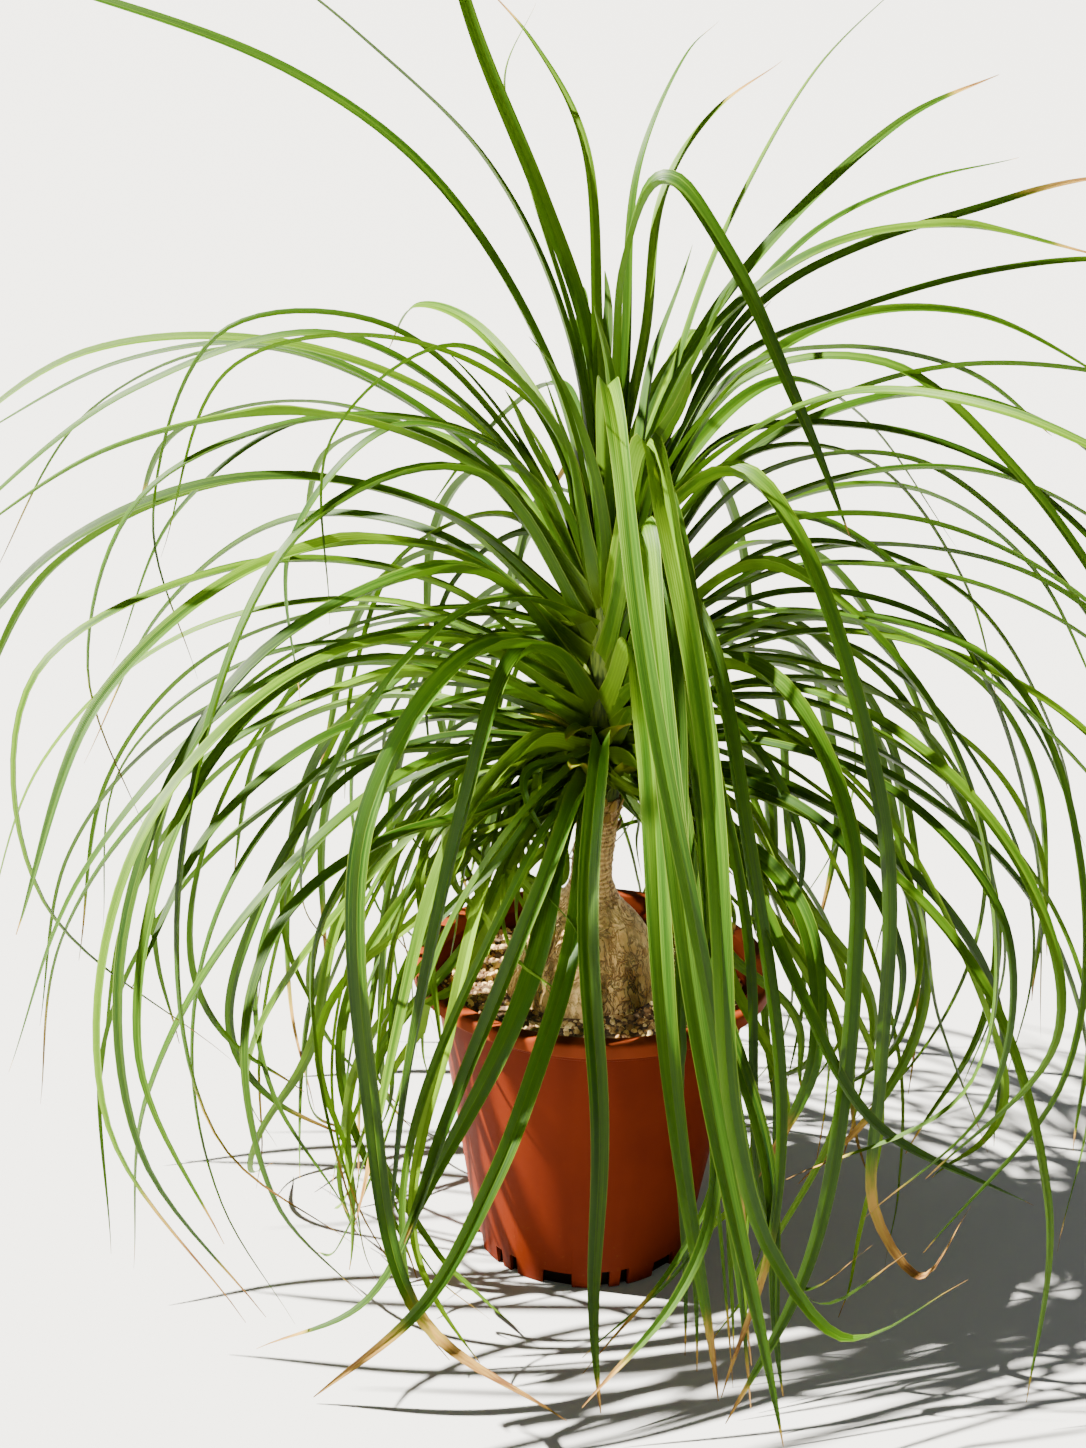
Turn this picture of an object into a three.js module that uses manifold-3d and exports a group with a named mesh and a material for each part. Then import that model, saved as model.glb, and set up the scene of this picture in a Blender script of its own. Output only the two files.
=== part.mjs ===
// A potted ponytail palm: a swollen, cracked stem base stands in gritty soil in a plastic nursery
// pot, and its neck carries a fountain of long strap leaves. Millimetres, +Z up, origin on the floor
// under the middle of the pot; the side of the plant seen first faces -Y.
import * as THREE from 'three';
import { mergeVertices } from 'three/addons/utils/BufferGeometryUtils.js';
import Module from 'manifold-3d';

// ---------------------------------------------------------------- driving dimensions
const CLEARANCE = 0.3; // between pieces that touch

const POT_HEIGHT = 207;
const RIM_RADIUS = 120;
const RIM_BAND = 9.5; // height of the overhanging band
const RIM_LIP = 12; // width of the flat lip, seen from above
const WALL_TOP_RADIUS = 106;
const BASE_RADIUS = 74;
const WALL = 3;
const FOOT_RING = 5; // width of the ring the pot stands on
const EDGE = 1.5; // bevel of the band's lower edge
const LIP_EDGE = 2.5; // bevel of the lip's outer edge
const LEDGE_DROP = 18; // from the lip down to the small ledge inside
const FLOOR_UNDERSIDE = 8;
const POT_SIDES = 72;

const DRAIN_STEP = 60; // degrees from one wide notch to the next
const DRAIN_START = -102; // the first wide notch, from +X
const WIDE_NOTCH = { width: 20, height: 12 };
const NARROW_SLOT = { width: 6, height: 14, apart: 13 };

const SOIL_TOP = 188; // at the pot's wall
const SOIL_MOUND = 4; // the rise towards the plant
const GRIT_RELIEF = 1.4;
const SOIL_SIDES = 48;
const SOIL_RINGS = 6; // across its top, from the wall in
const SOIL_MIDDLE = 40; // radius of the innermost ring, under the caudex

const CAUDEX_FOOT = 160;
const CAUDEX_SIDES = 40;
const NECK_RADIUS = 13.5;
const NECK_TOP = 325;
const LOBE_SIDE = 215; // degrees: the caudex bulges most here
const DRY_SCALES = 16;
const DRY_SCALE = { lowest: 290, width: 7, thickness: 2.2, sunk: 3, spread: 7 };

const CROWN_BASE = NECK_TOP + CLEARANCE;
const CROWN_TOP = 478;
const CROWN_RADIUS = 14;
const CROWN_TAPER = 400; // the stem narrows above this height
const CROWN_SIDES = 14;
const LEAF_WIDTH = 15;
const LEAF_THICKNESS = 1.4; // along the midrib
const LEAF_CHANNEL = 2.2; // depth of the V along the midrib
const LEAF_STEPS = 7;
const ROOT_REACH = CROWN_RADIUS * 0.3; // leaves start this far from the stem's axis
const ROOT_NARROWING = 0.25; // of a leaf's width, at its root
const SWING_DELAY = 4; // the higher, the nearer its tip a leaf swings round
const HALF_WIDTH = 445; // of the whole plant, across the side seen first
const HALF_DEPTH = 350;

// The leaves that fill the crown by a rule. Slopes and turns are in degrees.
const FILL_LEAVES = 75;
const GOLDEN_ANGLE = 137.508;
const FILL_LENGTH = { least: 430, most: 540, midlife: 90 }; // leaves of middle age are longer
const FILL_WIDTH = { least: 11, most: 16 };
const SETS_OUT = { young: 84, old: 18, spread: 10 };
const ENDS = { young: -35, old: -98, spread: 16, grownAt: 2 / 3 };
const AZIMUTH_SPREAD = 14;
const SWING_SPREAD = 24;
const FILL_ROOTS = { young: CROWN_TOP - 28, old: CROWN_BASE + 18 };
const OPEN_FRONT = { from: 228, to: 322, upToAge: 0.25 }; // older leaves leave the pot in view
const BEND_HASTE = 0.8; // under 1, a leaf bends more near its root
const LOWEST_TIP = 22;
const SEED = 20261;

// ---------------------------------------------------------------- small helpers
const { PI, sin, cos, min, max, hypot } = Math;
const radians = (degrees) => (degrees * PI) / 180;
const mix = (a, b, t) => a + (b - a) * t;

/** A repeatable random source, 0 to 1. */
function makeRandom(seed) {
  let state = seed;
  return () => {
    state = (state * 1664525 + 1013904223) % 4294967296;
    return state / 4294967296;
  };
}

const wasm = await Module();
wasm.setup();

/** A closed three.js geometry as a solid that can be joined and cut. */
function toSolid(geometry) {
  const bare = geometry.clone();
  bare.deleteAttribute('normal');
  bare.deleteAttribute('uv');
  const merged = mergeVertices(bare, 1e-4);
  const vertProperties = Float32Array.from(merged.attributes.position.array);
  const triVerts = Uint32Array.from(merged.index.array);
  return new wasm.Manifold(new wasm.Mesh({ numProp: 3, vertProperties, triVerts }));
}

/** The outer skin of a fused solid, with the small hollows that fusing seals filled. */
function filled(solid) {
  const skins = solid.decompose();
  return skins.reduce((largest, each) => (each.volume() > largest.volume() ? each : largest));
}

/** A solid as a named, coloured three.js mesh. */
function toMesh(name, solid, look) {
  const { vertProperties, triVerts } = solid.getMesh();
  const geometry = new THREE.BufferGeometry();
  geometry.setAttribute('position', new THREE.BufferAttribute(vertProperties, 3));
  geometry.setIndex(new THREE.BufferAttribute(triVerts, 1));
  const mesh = new THREE.Mesh(geometry, new THREE.MeshStandardMaterial(look));
  mesh.name = name;
  return mesh;
}

/** An outline of [radius, height] points turned about +Z. */
function turned(outline, sides) {
  const points = outline.map(([radius, height]) => new THREE.Vector2(radius, height));
  return new THREE.LatheGeometry(points, sides).rotateX(PI / 2);
}

/** A closed geometry from rings of the same size, with a point or a flat fan at each end. */
function skin(rings, tip) {
  const sides = rings[0].length;
  const vertices = rings.flat();
  const faces = [];
  for (let ring = 0; ring + 1 < rings.length; ring++) {
    for (let i = 0; i < sides; i++) {
      const a = ring * sides + i;
      const b = ring * sides + ((i + 1) % sides);
      faces.push([a, b, b + sides], [a, b + sides, a + sides]);
    }
  }
  const last = (rings.length - 1) * sides;
  const end = vertices.push(tip) - 1;
  for (let i = 0; i < sides; i++) faces.push([last + i, last + ((i + 1) % sides), end]);
  for (let i = 1; i + 1 < sides; i++) faces.push([0, i + 1, i]);
  const geometry = new THREE.BufferGeometry().setFromPoints(vertices);
  geometry.setIndex(faces.flat());
  return geometry;
}

// ---------------------------------------------------------------- the pot
const rimUnderside = POT_HEIGHT - RIM_BAND;
const lipInner = RIM_RADIUS - RIM_LIP;
const ledgeHeight = POT_HEIGHT - LEDGE_DROP;
const floorTop = FLOOR_UNDERSIDE + WALL;

/** Outer radius of the tapering wall at a height. */
const wallRadius = (height) => mix(BASE_RADIUS, WALL_TOP_RADIUS, height / rimUnderside);
/** Radius of the pot's inside below the ledge. */
const insideRadius = (height) => wallRadius(height) - WALL;

function drainCutter(angle, { width, height }) {
  const depth = 30;
  const box = new THREE.BoxGeometry(depth, width, 2 * height);
  box.translate(BASE_RADIUS, 0, 0);
  return toSolid(box.rotateZ(radians(angle)));
}

function pot() {
  const outline = [
    [0, FLOOR_UNDERSIDE],
    [BASE_RADIUS - FOOT_RING - 4, FLOOR_UNDERSIDE],
    [BASE_RADIUS - FOOT_RING, 0],
    [BASE_RADIUS, 0],
    [wallRadius(rimUnderside - 5), rimUnderside - 5],
    [WALL_TOP_RADIUS + EDGE, rimUnderside],
    [RIM_RADIUS - EDGE, rimUnderside],
    [RIM_RADIUS, rimUnderside + EDGE],
    [RIM_RADIUS, POT_HEIGHT - LIP_EDGE],
    [RIM_RADIUS - LIP_EDGE, POT_HEIGHT],
    [lipInner + 2, POT_HEIGHT],
    [lipInner, POT_HEIGHT - 2],
    [lipInner - EDGE, ledgeHeight],
    [insideRadius(ledgeHeight - WALL), ledgeHeight - WALL],
    [insideRadius(floorTop), floorTop],
    [0, floorTop],
  ];
  let body = toSolid(turned(outline, POT_SIDES));
  for (let turn = 0; turn < 360; turn += DRAIN_STEP) {
    const notch = DRAIN_START + turn;
    body = body.subtract(drainCutter(notch, WIDE_NOTCH));
    const spread = (NARROW_SLOT.apart / 2 / BASE_RADIUS) * (180 / PI);
    for (const side of [-1, 1]) {
      const angle = notch + DRAIN_STEP / 2 + side * spread;
      body = body.subtract(drainCutter(angle, NARROW_SLOT));
    }
  }
  return toMesh('pot', body, { color: 0xb5522f, roughness: 0.5, metalness: 0 });
}

// ---------------------------------------------------------------- the swollen stem base
// Outline of the caudex: how far its middle stands to the left, its radius and the height.
const CAUDEX_OUTLINE = [
  { height: CAUDEX_FOOT, radius: 34, lean: -6 },
  { height: 166, radius: 45, lean: -6 },
  { height: 177, radius: 51, lean: -6 },
  { height: 192, radius: 53, lean: -6 },
  { height: 208, radius: 50, lean: -6 },
  { height: 224, radius: 43, lean: -5 },
  { height: 239, radius: 33, lean: -4 },
  { height: 250, radius: 23, lean: -4 },
  { height: 260, radius: 16.5, lean: -3 },
  { height: 272, radius: NECK_RADIUS, lean: -3 },
  { height: 300, radius: NECK_RADIUS, lean: -1 },
  { height: NECK_TOP, radius: NECK_RADIUS, lean: 0 },
];

/** Lobes and folds of the swollen part; the neck stays round. */
function caudexSwell(angle, radius) {
  const swollen = max(0, (radius - NECK_RADIUS) / 40);
  const lobe = 0.05 * max(0, cos(angle - radians(LOBE_SIDE)));
  const folds = 0.022 * sin(3 * angle + 1) + 0.012 * sin(7 * angle + 0.5);
  return radius * (1 + swollen * (lobe + folds));
}

/** The caudex's skin, moved outward by a margin; the soil's hole uses it too. */
function caudexSkin(margin) {
  const rings = CAUDEX_OUTLINE.map(({ height, radius, lean }) => {
    const ring = [];
    for (let i = 0; i < CAUDEX_SIDES; i++) {
      const angle = (i / CAUDEX_SIDES) * 2 * PI;
      const reach = caudexSwell(angle, radius) + margin;
      const level = height === CAUDEX_FOOT ? height - margin : height;
      ring.push(new THREE.Vector3(lean + reach * cos(angle), reach * sin(angle), level));
    }
    return ring;
  });
  return skin(rings, new THREE.Vector3(0, 0, NECK_TOP));
}

/** A short dry stub of an old leaf base, bent away from the neck. */
function dryScale(angle, height, length) {
  const { width, thickness, sunk, spread } = DRY_SCALE;
  const root = NECK_RADIUS - sunk;
  const rings = [0, 0.5].map((along) => {
    const reach = root + along * spread;
    const level = height + along * length;
    const half = (width / 2) * (1 - along / 2);
    return [
      new THREE.Vector3(reach, -half, level),
      new THREE.Vector3(reach + thickness, 0, level - 1),
      new THREE.Vector3(reach, half, level),
    ];
  });
  const tip = new THREE.Vector3(root + spread, 0, height + length);
  return toSolid(skin(rings, tip).rotateZ(angle));
}

function caudex() {
  const random = makeRandom(SEED + 1);
  let body = toSolid(caudexSkin(0));
  for (let i = 0; i < DRY_SCALES; i++) {
    const angle = radians(i * GOLDEN_ANGLE);
    const length = 10 + 6 * random();
    const height = mix(DRY_SCALE.lowest, NECK_TOP - 4 - length, i / (DRY_SCALES - 1));
    body = body.add(dryScale(angle, height, length));
  }
  return toMesh('caudex', body, { color: 0xb79a6b, roughness: 0.85, metalness: 0 });
}

// ---------------------------------------------------------------- the soil
function soil() {
  const random = makeRandom(SEED + 2);
  const bottom = floorTop + CLEARANCE;
  const edge = insideRadius(SOIL_TOP) - CLEARANCE;
  const rings = [];
  const ringAt = (reach, heightAt) => {
    const ring = [];
    for (let i = 0; i < SOIL_SIDES; i++) {
      const angle = (i / SOIL_SIDES) * 2 * PI;
      ring.push(new THREE.Vector3(reach * cos(angle), reach * sin(angle), heightAt()));
    }
    return ring;
  };
  rings.push(ringAt(insideRadius(bottom) - CLEARANCE, () => bottom));
  for (let k = 0; k < SOIL_RINGS; k++) {
    const inward = k / (SOIL_RINGS - 1);
    const reach = mix(edge, SOIL_MIDDLE, inward);
    const rise = SOIL_MOUND * inward;
    const relief = k === 0 ? 0 : GRIT_RELIEF;
    rings.push(ringAt(reach, () => SOIL_TOP + rise + relief * (2 * random() - 1)));
  }
  const top = new THREE.Vector3(0, 0, SOIL_TOP + SOIL_MOUND);
  const body = toSolid(skin(rings, top)).subtract(toSolid(caudexSkin(CLEARANCE)));
  return toMesh('soil', body, { color: 0x4a3a2c, roughness: 0.95, metalness: 0 });
}

// ---------------------------------------------------------------- the leaves
/**
 * One leaf's route: the direction it leaves the stem in, how many degrees it swings round by its
 * tip, the height of its root on the stem, its width, and the points it passes, each as the reach
 * from the stem's axis and the height above the floor.
 */
const leaf = (azimuth, swing, root, width, ...points) => ({ azimuth, swing, root, width, points });

// Leaves that give the plant its outline as first seen, read off the plant one by one.
const OUTLINE_LEAVES = [
  // Rising leaves, from the left to the right.
  leaf(170, 0, 455, 15, [40, 600], [108, 700], [208, 765], [350, 813], [445, 825]),
  leaf(150, 0, 465, 11, [33, 620], [98, 718], [197, 790], [300, 845]),
  leaf(142, 0, 460, 17, [22, 600], [68, 700], [128, 825], [160, 915]),
  leaf(130, 0, 462, 10, [40, 600], [90, 700], [118, 765], [88, 810]),
  leaf(115, 0, 468, 10, [20, 620], [60, 720], [148, 785], [230, 818]),
  leaf(60, 0, 466, 11, [15, 620], [25, 720], [75, 785], [110, 802]),
  leaf(45, 0, 464, 12, [20, 620], [36, 700], [80, 752], [135, 780]),
  leaf(30, 0, 452, 12, [42, 590], [84, 700], [130, 775], [200, 835]),
  leaf(25, 0, 448, 14, [50, 600], [110, 690], [183, 745], [255, 775]),
  leaf(30, 0, 444, 10, [60, 605], [130, 672], [220, 708], [295, 722]),
  leaf(20, 0, 440, 11, [75, 615], [160, 675], [260, 705], [350, 718]),
  leaf(5, 0, 452, 17, [45, 610], [110, 670], [200, 690], [300, 675]),
  leaf(18, 0, 440, 11, [72, 595], [155, 635], [240, 660], [330, 665], [452, 642]),
  leaf(30, 0, 432, 12, [80, 590], [165, 607], [260, 587], [348, 535]),
  // One that arches over the top with a broad crest.
  leaf(340, 0, 462, 19, [2, 600], [4, 668], [24, 713], [72, 670], [115, 598], [152, 518]),
  // High arches on the left.
  leaf(170, 0, 430, 13, [85, 545], [200, 600], [320, 585], [445, 520]),
  leaf(185, 0, 434, 13, [75, 563], [170, 622], [290, 585], [420, 480]),
  leaf(165, 0, 420, 11, [105, 555], [235, 597], [355, 548], [440, 420]),
  leaf(190, 0, 438, 12, [60, 555], [140, 628], [235, 624], [278, 515], [255, 410]),
  leaf(195, 0, 444, 13, [40, 570], [130, 622], [230, 607], [275, 495]),
  leaf(215, 0, 440, 12, [40, 560], [118, 624], [192, 580], [195, 470]),
  leaf(205, 0, 430, 14, [55, 540], [142, 577], [203, 515], [200, 410]),
  leaf(195, 0, 424, 12, [65, 550], [175, 577], [283, 535], [320, 430], [288, 312]),
  leaf(180, 0, 416, 11, [75, 535], [177, 565], [268, 503], [315, 400]),
  leaf(205, 15, 386, 13, [110, 475], [240, 500], [357, 450], [366, 325], [275, 218]),
  leaf(190, 0, 372, 10, [110, 425], [220, 420], [303, 353], [320, 240]),
  leaf(150, 0, 408, 14, [50, 490], [110, 455], [135, 375], [130, 300]),
  leaf(160, 0, 412, 14, [65, 500], [142, 468], [175, 383], [185, 290]),
  // Long leaves that hang round the lower left.
  leaf(217, 20, 384, 16, [102, 490], [242, 458], [338, 320], [357, 205], [325, 108]),
  leaf(216, 26, 416, 14, [102, 550], [215, 525], [303, 350], [308, 195], [272, 135]),
  leaf(222, 20, 374, 14, [115, 450], [240, 455], [345, 385], [394, 250], [378, 148]),
  leaf(217, 18, 366, 13, [105, 430], [215, 440], [307, 370], [352, 262], [345, 162]),
  leaf(212, 10, 352, 13, [95, 395], [187, 402], [272, 362], [345, 290]),
  leaf(229, 40, 370, 19, [55, 435], [138, 445], [218, 370], [232, 200], [250, 86], [270, 45]),
  leaf(232, 4, 366, 18, [48, 430], [83, 437], [139, 350], [177, 213], [210, 98]),
  leaf(228, 0, 352, 17, [60, 373], [120, 332], [175, 210], [210, 95]),
  leaf(221, 20, 346, 16, [100, 336], [170, 332], [240, 300], [279, 238], [283, 150], [262, 94]),
  leaf(219, 16, 360, 14, [80, 366], [141, 360], [213, 295], [229, 205], [227, 93]),
  // Leaves that droop in front of the pot.
  leaf(250, -8, 340, 19, [48, 330], [100, 268], [150, 218], [226, 112]),
  leaf(260, -20, 334, 17, [40, 318], [91, 271], [150, 226], [206, 160], [255, 100], [304, 48]),
  leaf(264, 16, 345, 21, [30, 370], [60, 364], [100, 310], [150, 207], [190, 88], [222, 14]),
  leaf(249, -22, 346, 16, [47, 337], [99, 290], [150, 228], [189, 174], [243, 78], [285, 39]),
  // Broad leaves that fold over and hang in front, tallest crest first.
  leaf(266, 26, 428, 22, [30, 535], [58, 603], [85, 590], [140, 490], [197, 322], [243, 100]),
  leaf(289, 26, 424, 20, [44, 520], [69, 570], [106, 530], [200, 320], [230, 205], [250, 130], [280, 82],
    [318, 122]),
  leaf(288, 8, 394, 22, [38, 470], [62, 518], [95, 480], [155, 355], [205, 210], [280, 20]),
  leaf(284, 6, 366, 21, [30, 410], [52, 440], [85, 405], [140, 295], [190, 130], [222, 14]),
  leaf(309, -18, 408, 17, [65, 474], [94, 457], [130, 400], [174, 285], [221, 119], [242, 33]),
  leaf(297, -26, 372, 14, [55, 415], [114, 365], [164, 257], [199, 142], [216, 90], [235, 28]),
  leaf(302, -2, 350, 16, [43, 358], [84, 327], [138, 271], [187, 200], [249, 28]),
  leaf(321, -30, 372, 21, [71, 429], [130, 430], [191, 353], [211, 279], [225, 198], [236, 110], [250, 20]),
  leaf(324, 2, 432, 19, [45, 520], [92, 554], [137, 523], [201, 363], [217, 200], [225, 105], [258, 72],
    [284, 130]),
  // Arches and hanging leaves on the right.
  leaf(350, 0, 436, 14, [75, 597], [162, 617], [245, 560], [322, 462], [375, 360]),
  leaf(352, 0, 428, 12, [65, 560], [150, 575], [240, 550], [330, 475], [405, 380]),
  leaf(10, 0, 422, 12, [90, 535], [187, 547], [272, 495], [350, 400]),
  leaf(15, 0, 418, 12, [85, 545], [170, 540], [237, 465], [275, 370]),
  leaf(335, -28, 404, 17, [105, 495], [202, 438], [262, 335], [280, 220], [203, 145]),
  leaf(350, 0, 410, 15, [110, 520], [217, 453], [275, 330], [295, 190]),
  leaf(0, 0, 404, 12, [110, 495], [220, 470], [290, 375], [320, 260]),
  leaf(5, 0, 396, 12, [105, 460], [205, 450], [275, 380], [325, 290]),
  leaf(345, -25, 388, 12, [122, 460], [243, 440], [305, 330], [320, 210], [270, 105]),
  leaf(335, -18, 368, 14, [110, 420], [205, 405], [285, 340], [320, 255], [275, 165]),
  leaf(330, -18, 358, 13, [110, 385], [205, 370], [280, 310], [295, 215], [250, 135]),
  leaf(345, 0, 346, 13, [115, 345], [200, 300], [230, 205], [270, 115]),
  leaf(330, 0, 342, 15, [95, 355], [172, 335], [217, 275], [212, 198]),
  leaf(316, -12, 336, 17, [97, 335], [170, 297], [205, 220], [190, 143]),
  leaf(308, 26, 338, 17, [115, 335], [192, 270], [240, 185], [310, 118]),
];

/**
 * The rest of the leaves leave the stem by the golden angle, the oldest lowest. Each sets out at a
 * slope and bends towards another as it goes; the young ones at the top stay up.
 */
function fillLeaves() {
  const random = makeRandom(SEED);
  const scatter = (spread) => spread * (random() - 0.5);
  const leaves = [];
  for (let k = 0; k < FILL_LEAVES; k++) {
    const age = 1 - k / (FILL_LEAVES - 1);
    const grown = min(1, age / ENDS.grownAt);
    const azimuth = (k * GOLDEN_ANGLE + scatter(AZIMUTH_SPREAD)) % 360;
    const extra = FILL_LENGTH.midlife * sin(PI * age);
    const length = mix(FILL_LENGTH.least, FILL_LENGTH.most, random()) + extra;
    const start = radians(mix(SETS_OUT.young, SETS_OUT.old, age) + scatter(SETS_OUT.spread));
    const end = radians(mix(ENDS.young, ENDS.old, grown) + scatter(ENDS.spread));
    const swing = scatter(SWING_SPREAD);
    const width = mix(FILL_WIDTH.least, FILL_WIDTH.most, random());
    const root = mix(FILL_ROOTS.young, FILL_ROOTS.old, age);
    const inOpenFront = azimuth > OPEN_FRONT.from && azimuth < OPEN_FRONT.to;
    if (inOpenFront && age > OPEN_FRONT.upToAge) continue;
    const points = heldWithin(azimuth, bentRoute(root, length, start, end));
    leaves.push(leaf(azimuth, swing, root, width, ...points));
  }
  return leaves;
}

/** Route points of a leaf whose slope turns steadily from start to end along its length. */
function bentRoute(root, length, start, end) {
  const steps = 40;
  const legs = 4;
  const points = [];
  let reach = CROWN_RADIUS;
  let height = root;
  for (let i = 1; i <= steps; i++) {
    const slope = mix(start, end, ((i - 0.5) / steps) ** BEND_HASTE);
    reach += (length / steps) * cos(slope);
    height += (length / steps) * sin(slope);
    const touchesDown = height < LOWEST_TIP;
    if (touchesDown || i % (steps / legs) === 0) points.push([reach, height]);
    if (touchesDown) break;
  }
  return points;
}

/** Draws a route in towards the stem where it would leave the plant's oval outline from above. */
function heldWithin(azimuth, points) {
  const turn = radians(azimuth);
  const limit = 1 / hypot(cos(turn) / HALF_WIDTH, sin(turn) / HALF_DEPTH);
  const farthest = max(...points.map(([reach]) => reach));
  const shrink = min(1, (limit - LEAF_WIDTH) / farthest);
  return points.map(([reach, height]) => [reach * shrink, height]);
}

/** Share of its full width that a leaf has along it: a narrow root, an even strap, a fine tip. */
const leafProfile = (along) => min(1, ROOT_NARROWING + 3 * along) * (1 - along ** 2.4);

/** One leaf as a V-channelled blade that starts inside the stem. */
function blade({ azimuth, swing, root, width, points }) {
  const route = [[ROOT_REACH, root], ...points].map(([reach, height], i) => {
    const turn = radians(azimuth + swing * (i / points.length) ** SWING_DELAY);
    return new THREE.Vector3(reach * cos(turn), reach * sin(turn), height);
  });
  const curve = new THREE.CatmullRomCurve3(route, false, 'centripetal');
  const stations = curve.getSpacedPoints(LEAF_STEPS);
  const rings = stations.slice(0, -1).map((station, i) => {
    const along = i / LEAF_STEPS;
    const ahead = curve.getTangentAt(along);
    const turn = radians(azimuth + swing * along ** SWING_DELAY);
    const side = new THREE.Vector3(-sin(turn), cos(turn), 0);
    side.addScaledVector(ahead, -side.dot(ahead)).normalize();
    const face = new THREE.Vector3().crossVectors(ahead, side);
    const half = (width / 2) * leafProfile(along);
    const depth = LEAF_CHANNEL * (half / (LEAF_WIDTH / 2));
    return [
      station.clone().addScaledVector(side, half),
      station.clone().addScaledVector(face, -depth),
      station.clone().addScaledVector(side, -half),
      station.clone().addScaledVector(face, -depth - LEAF_THICKNESS),
    ];
  });
  return toSolid(skin(rings, stations.at(-1)));
}

function leafCrown() {
  const stemOutline = [
    [0, CROWN_BASE],
    [CROWN_RADIUS - 1, CROWN_BASE],
    [CROWN_RADIUS, CROWN_BASE + 6],
    [CROWN_RADIUS, CROWN_TAPER],
    [CROWN_RADIUS * 0.6, CROWN_TOP - 8],
    [0, CROWN_TOP],
  ];
  const stem = toSolid(turned(stemOutline, CROWN_SIDES));
  const blades = [...OUTLINE_LEAVES, ...fillLeaves()].map(blade);
  const body = filled(wasm.Manifold.union([stem, ...blades]));
  return toMesh('leaf_crown', body, { color: 0x5f8a2a, roughness: 0.5, metalness: 0 });
}

const group = new THREE.Group();
group.add(pot(), soil(), caudex(), leafCrown());
export default group;
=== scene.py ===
# %% [markdown]
# # A potted ponytail palm, piece by piece
#
# This plant is a swollen, cracked stem base (a caudex) that narrows to a thin ringed neck under a
# fountain of long strap leaves, in a plastic nursery pot of gritty soil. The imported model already
# holds the shape, the size and the place of every piece. This lesson gives each piece its real
# surface: finer meshes in the same places, and materials made of nodes.
#
# Everything is in metres, with the floor at z = 0 under the middle of the pot, and -Y towards the
# side that the camera sees.

# %% Load the frame
from math import atan, cos, degrees, hypot, pi, radians, sin, sqrt

import bmesh
import bpy
import numpy as np
from mathutils import Matrix, Vector, noise


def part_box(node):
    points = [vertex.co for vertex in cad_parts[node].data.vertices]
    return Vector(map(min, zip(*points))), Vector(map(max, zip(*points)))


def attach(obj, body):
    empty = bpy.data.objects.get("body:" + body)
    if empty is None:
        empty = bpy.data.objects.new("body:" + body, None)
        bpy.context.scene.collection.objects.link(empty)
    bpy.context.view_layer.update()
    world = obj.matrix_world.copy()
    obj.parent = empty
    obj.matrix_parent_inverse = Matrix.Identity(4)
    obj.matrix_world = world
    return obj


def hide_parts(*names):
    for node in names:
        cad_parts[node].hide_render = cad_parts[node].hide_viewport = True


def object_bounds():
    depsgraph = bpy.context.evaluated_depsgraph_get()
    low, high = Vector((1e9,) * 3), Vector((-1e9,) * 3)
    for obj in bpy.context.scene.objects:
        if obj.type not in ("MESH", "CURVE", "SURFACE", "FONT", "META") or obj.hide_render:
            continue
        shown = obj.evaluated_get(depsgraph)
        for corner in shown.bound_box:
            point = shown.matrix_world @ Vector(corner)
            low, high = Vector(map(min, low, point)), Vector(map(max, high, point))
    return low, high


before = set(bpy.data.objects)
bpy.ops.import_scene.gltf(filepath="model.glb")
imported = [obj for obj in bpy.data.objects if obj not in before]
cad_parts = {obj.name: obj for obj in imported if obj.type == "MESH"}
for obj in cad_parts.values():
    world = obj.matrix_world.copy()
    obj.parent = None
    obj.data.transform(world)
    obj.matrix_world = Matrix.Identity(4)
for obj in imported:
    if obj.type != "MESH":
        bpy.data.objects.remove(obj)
cad_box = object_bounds()
MM = 0.001
print("pieces in the frame:", sorted(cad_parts))
print("whole box, mm:", [[round(v / MM) for v in corner] for corner in cad_box])


# %% [markdown]
# ## The camera
#
# The camera looks down at the pot from a little above its rim, close enough for the leaves in
# front to look clearly longer than those behind. A camera's matrix is its right, up and backward
# directions as columns, with its place as the last one, so three angles and a point are enough to
# build it. The lens is given by how tall the view is, because the picture stands upright.

# %% Camera
PICTURE = (1086, 1448)
FOCAL_PIXELS = 2158
CAMERA_PLACE = Vector((0, -1.3015, 0.8465))
CAMERA_YAW, CAMERA_PITCH, CAMERA_ROLL = radians(-1.66), radians(19.98), radians(1.66)


def camera_matrix(place, yaw, pitch, roll):
    """A camera at a place, turned by yaw from +Y, pitched down and rolled about its own view."""
    ahead = Vector((sin(yaw) * cos(pitch), cos(yaw) * cos(pitch), -sin(pitch)))
    level = ahead.cross(Vector((0, 0, 1))).normalized()
    upright = level.cross(ahead)
    right = level * cos(roll) + upright * sin(roll)
    up = upright * cos(roll) - level * sin(roll)
    columns = Matrix((right, up, -ahead)).transposed()
    return Matrix.Translation(place) @ columns.to_4x4()


camera_data = bpy.data.cameras.new("camera")
camera_data.sensor_fit = "VERTICAL"
camera_data.angle = 2 * atan(PICTURE[1] / 2 / FOCAL_PIXELS)
camera = bpy.data.objects.new("camera", camera_data)
camera.matrix_world = camera_matrix(CAMERA_PLACE, CAMERA_YAW, CAMERA_PITCH, CAMERA_ROLL)
bpy.context.scene.collection.objects.link(camera)
bpy.context.scene.camera = camera
print("the view is", round(degrees(camera_data.angle), 1), "degrees tall")


# %% [markdown]
# ## Sums of sockets
#
# Every shader and every node tree below is a sum of a few textures and masks. Written as links it
# would be hard to read, so one small class stands for a node's output and lets Python's own
# operators add the nodes: `1 - mask` makes a Math node, and a colour or a vector makes a Vector
# Math node, because a Math node would turn it grey. One method makes every other kind of node.

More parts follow.
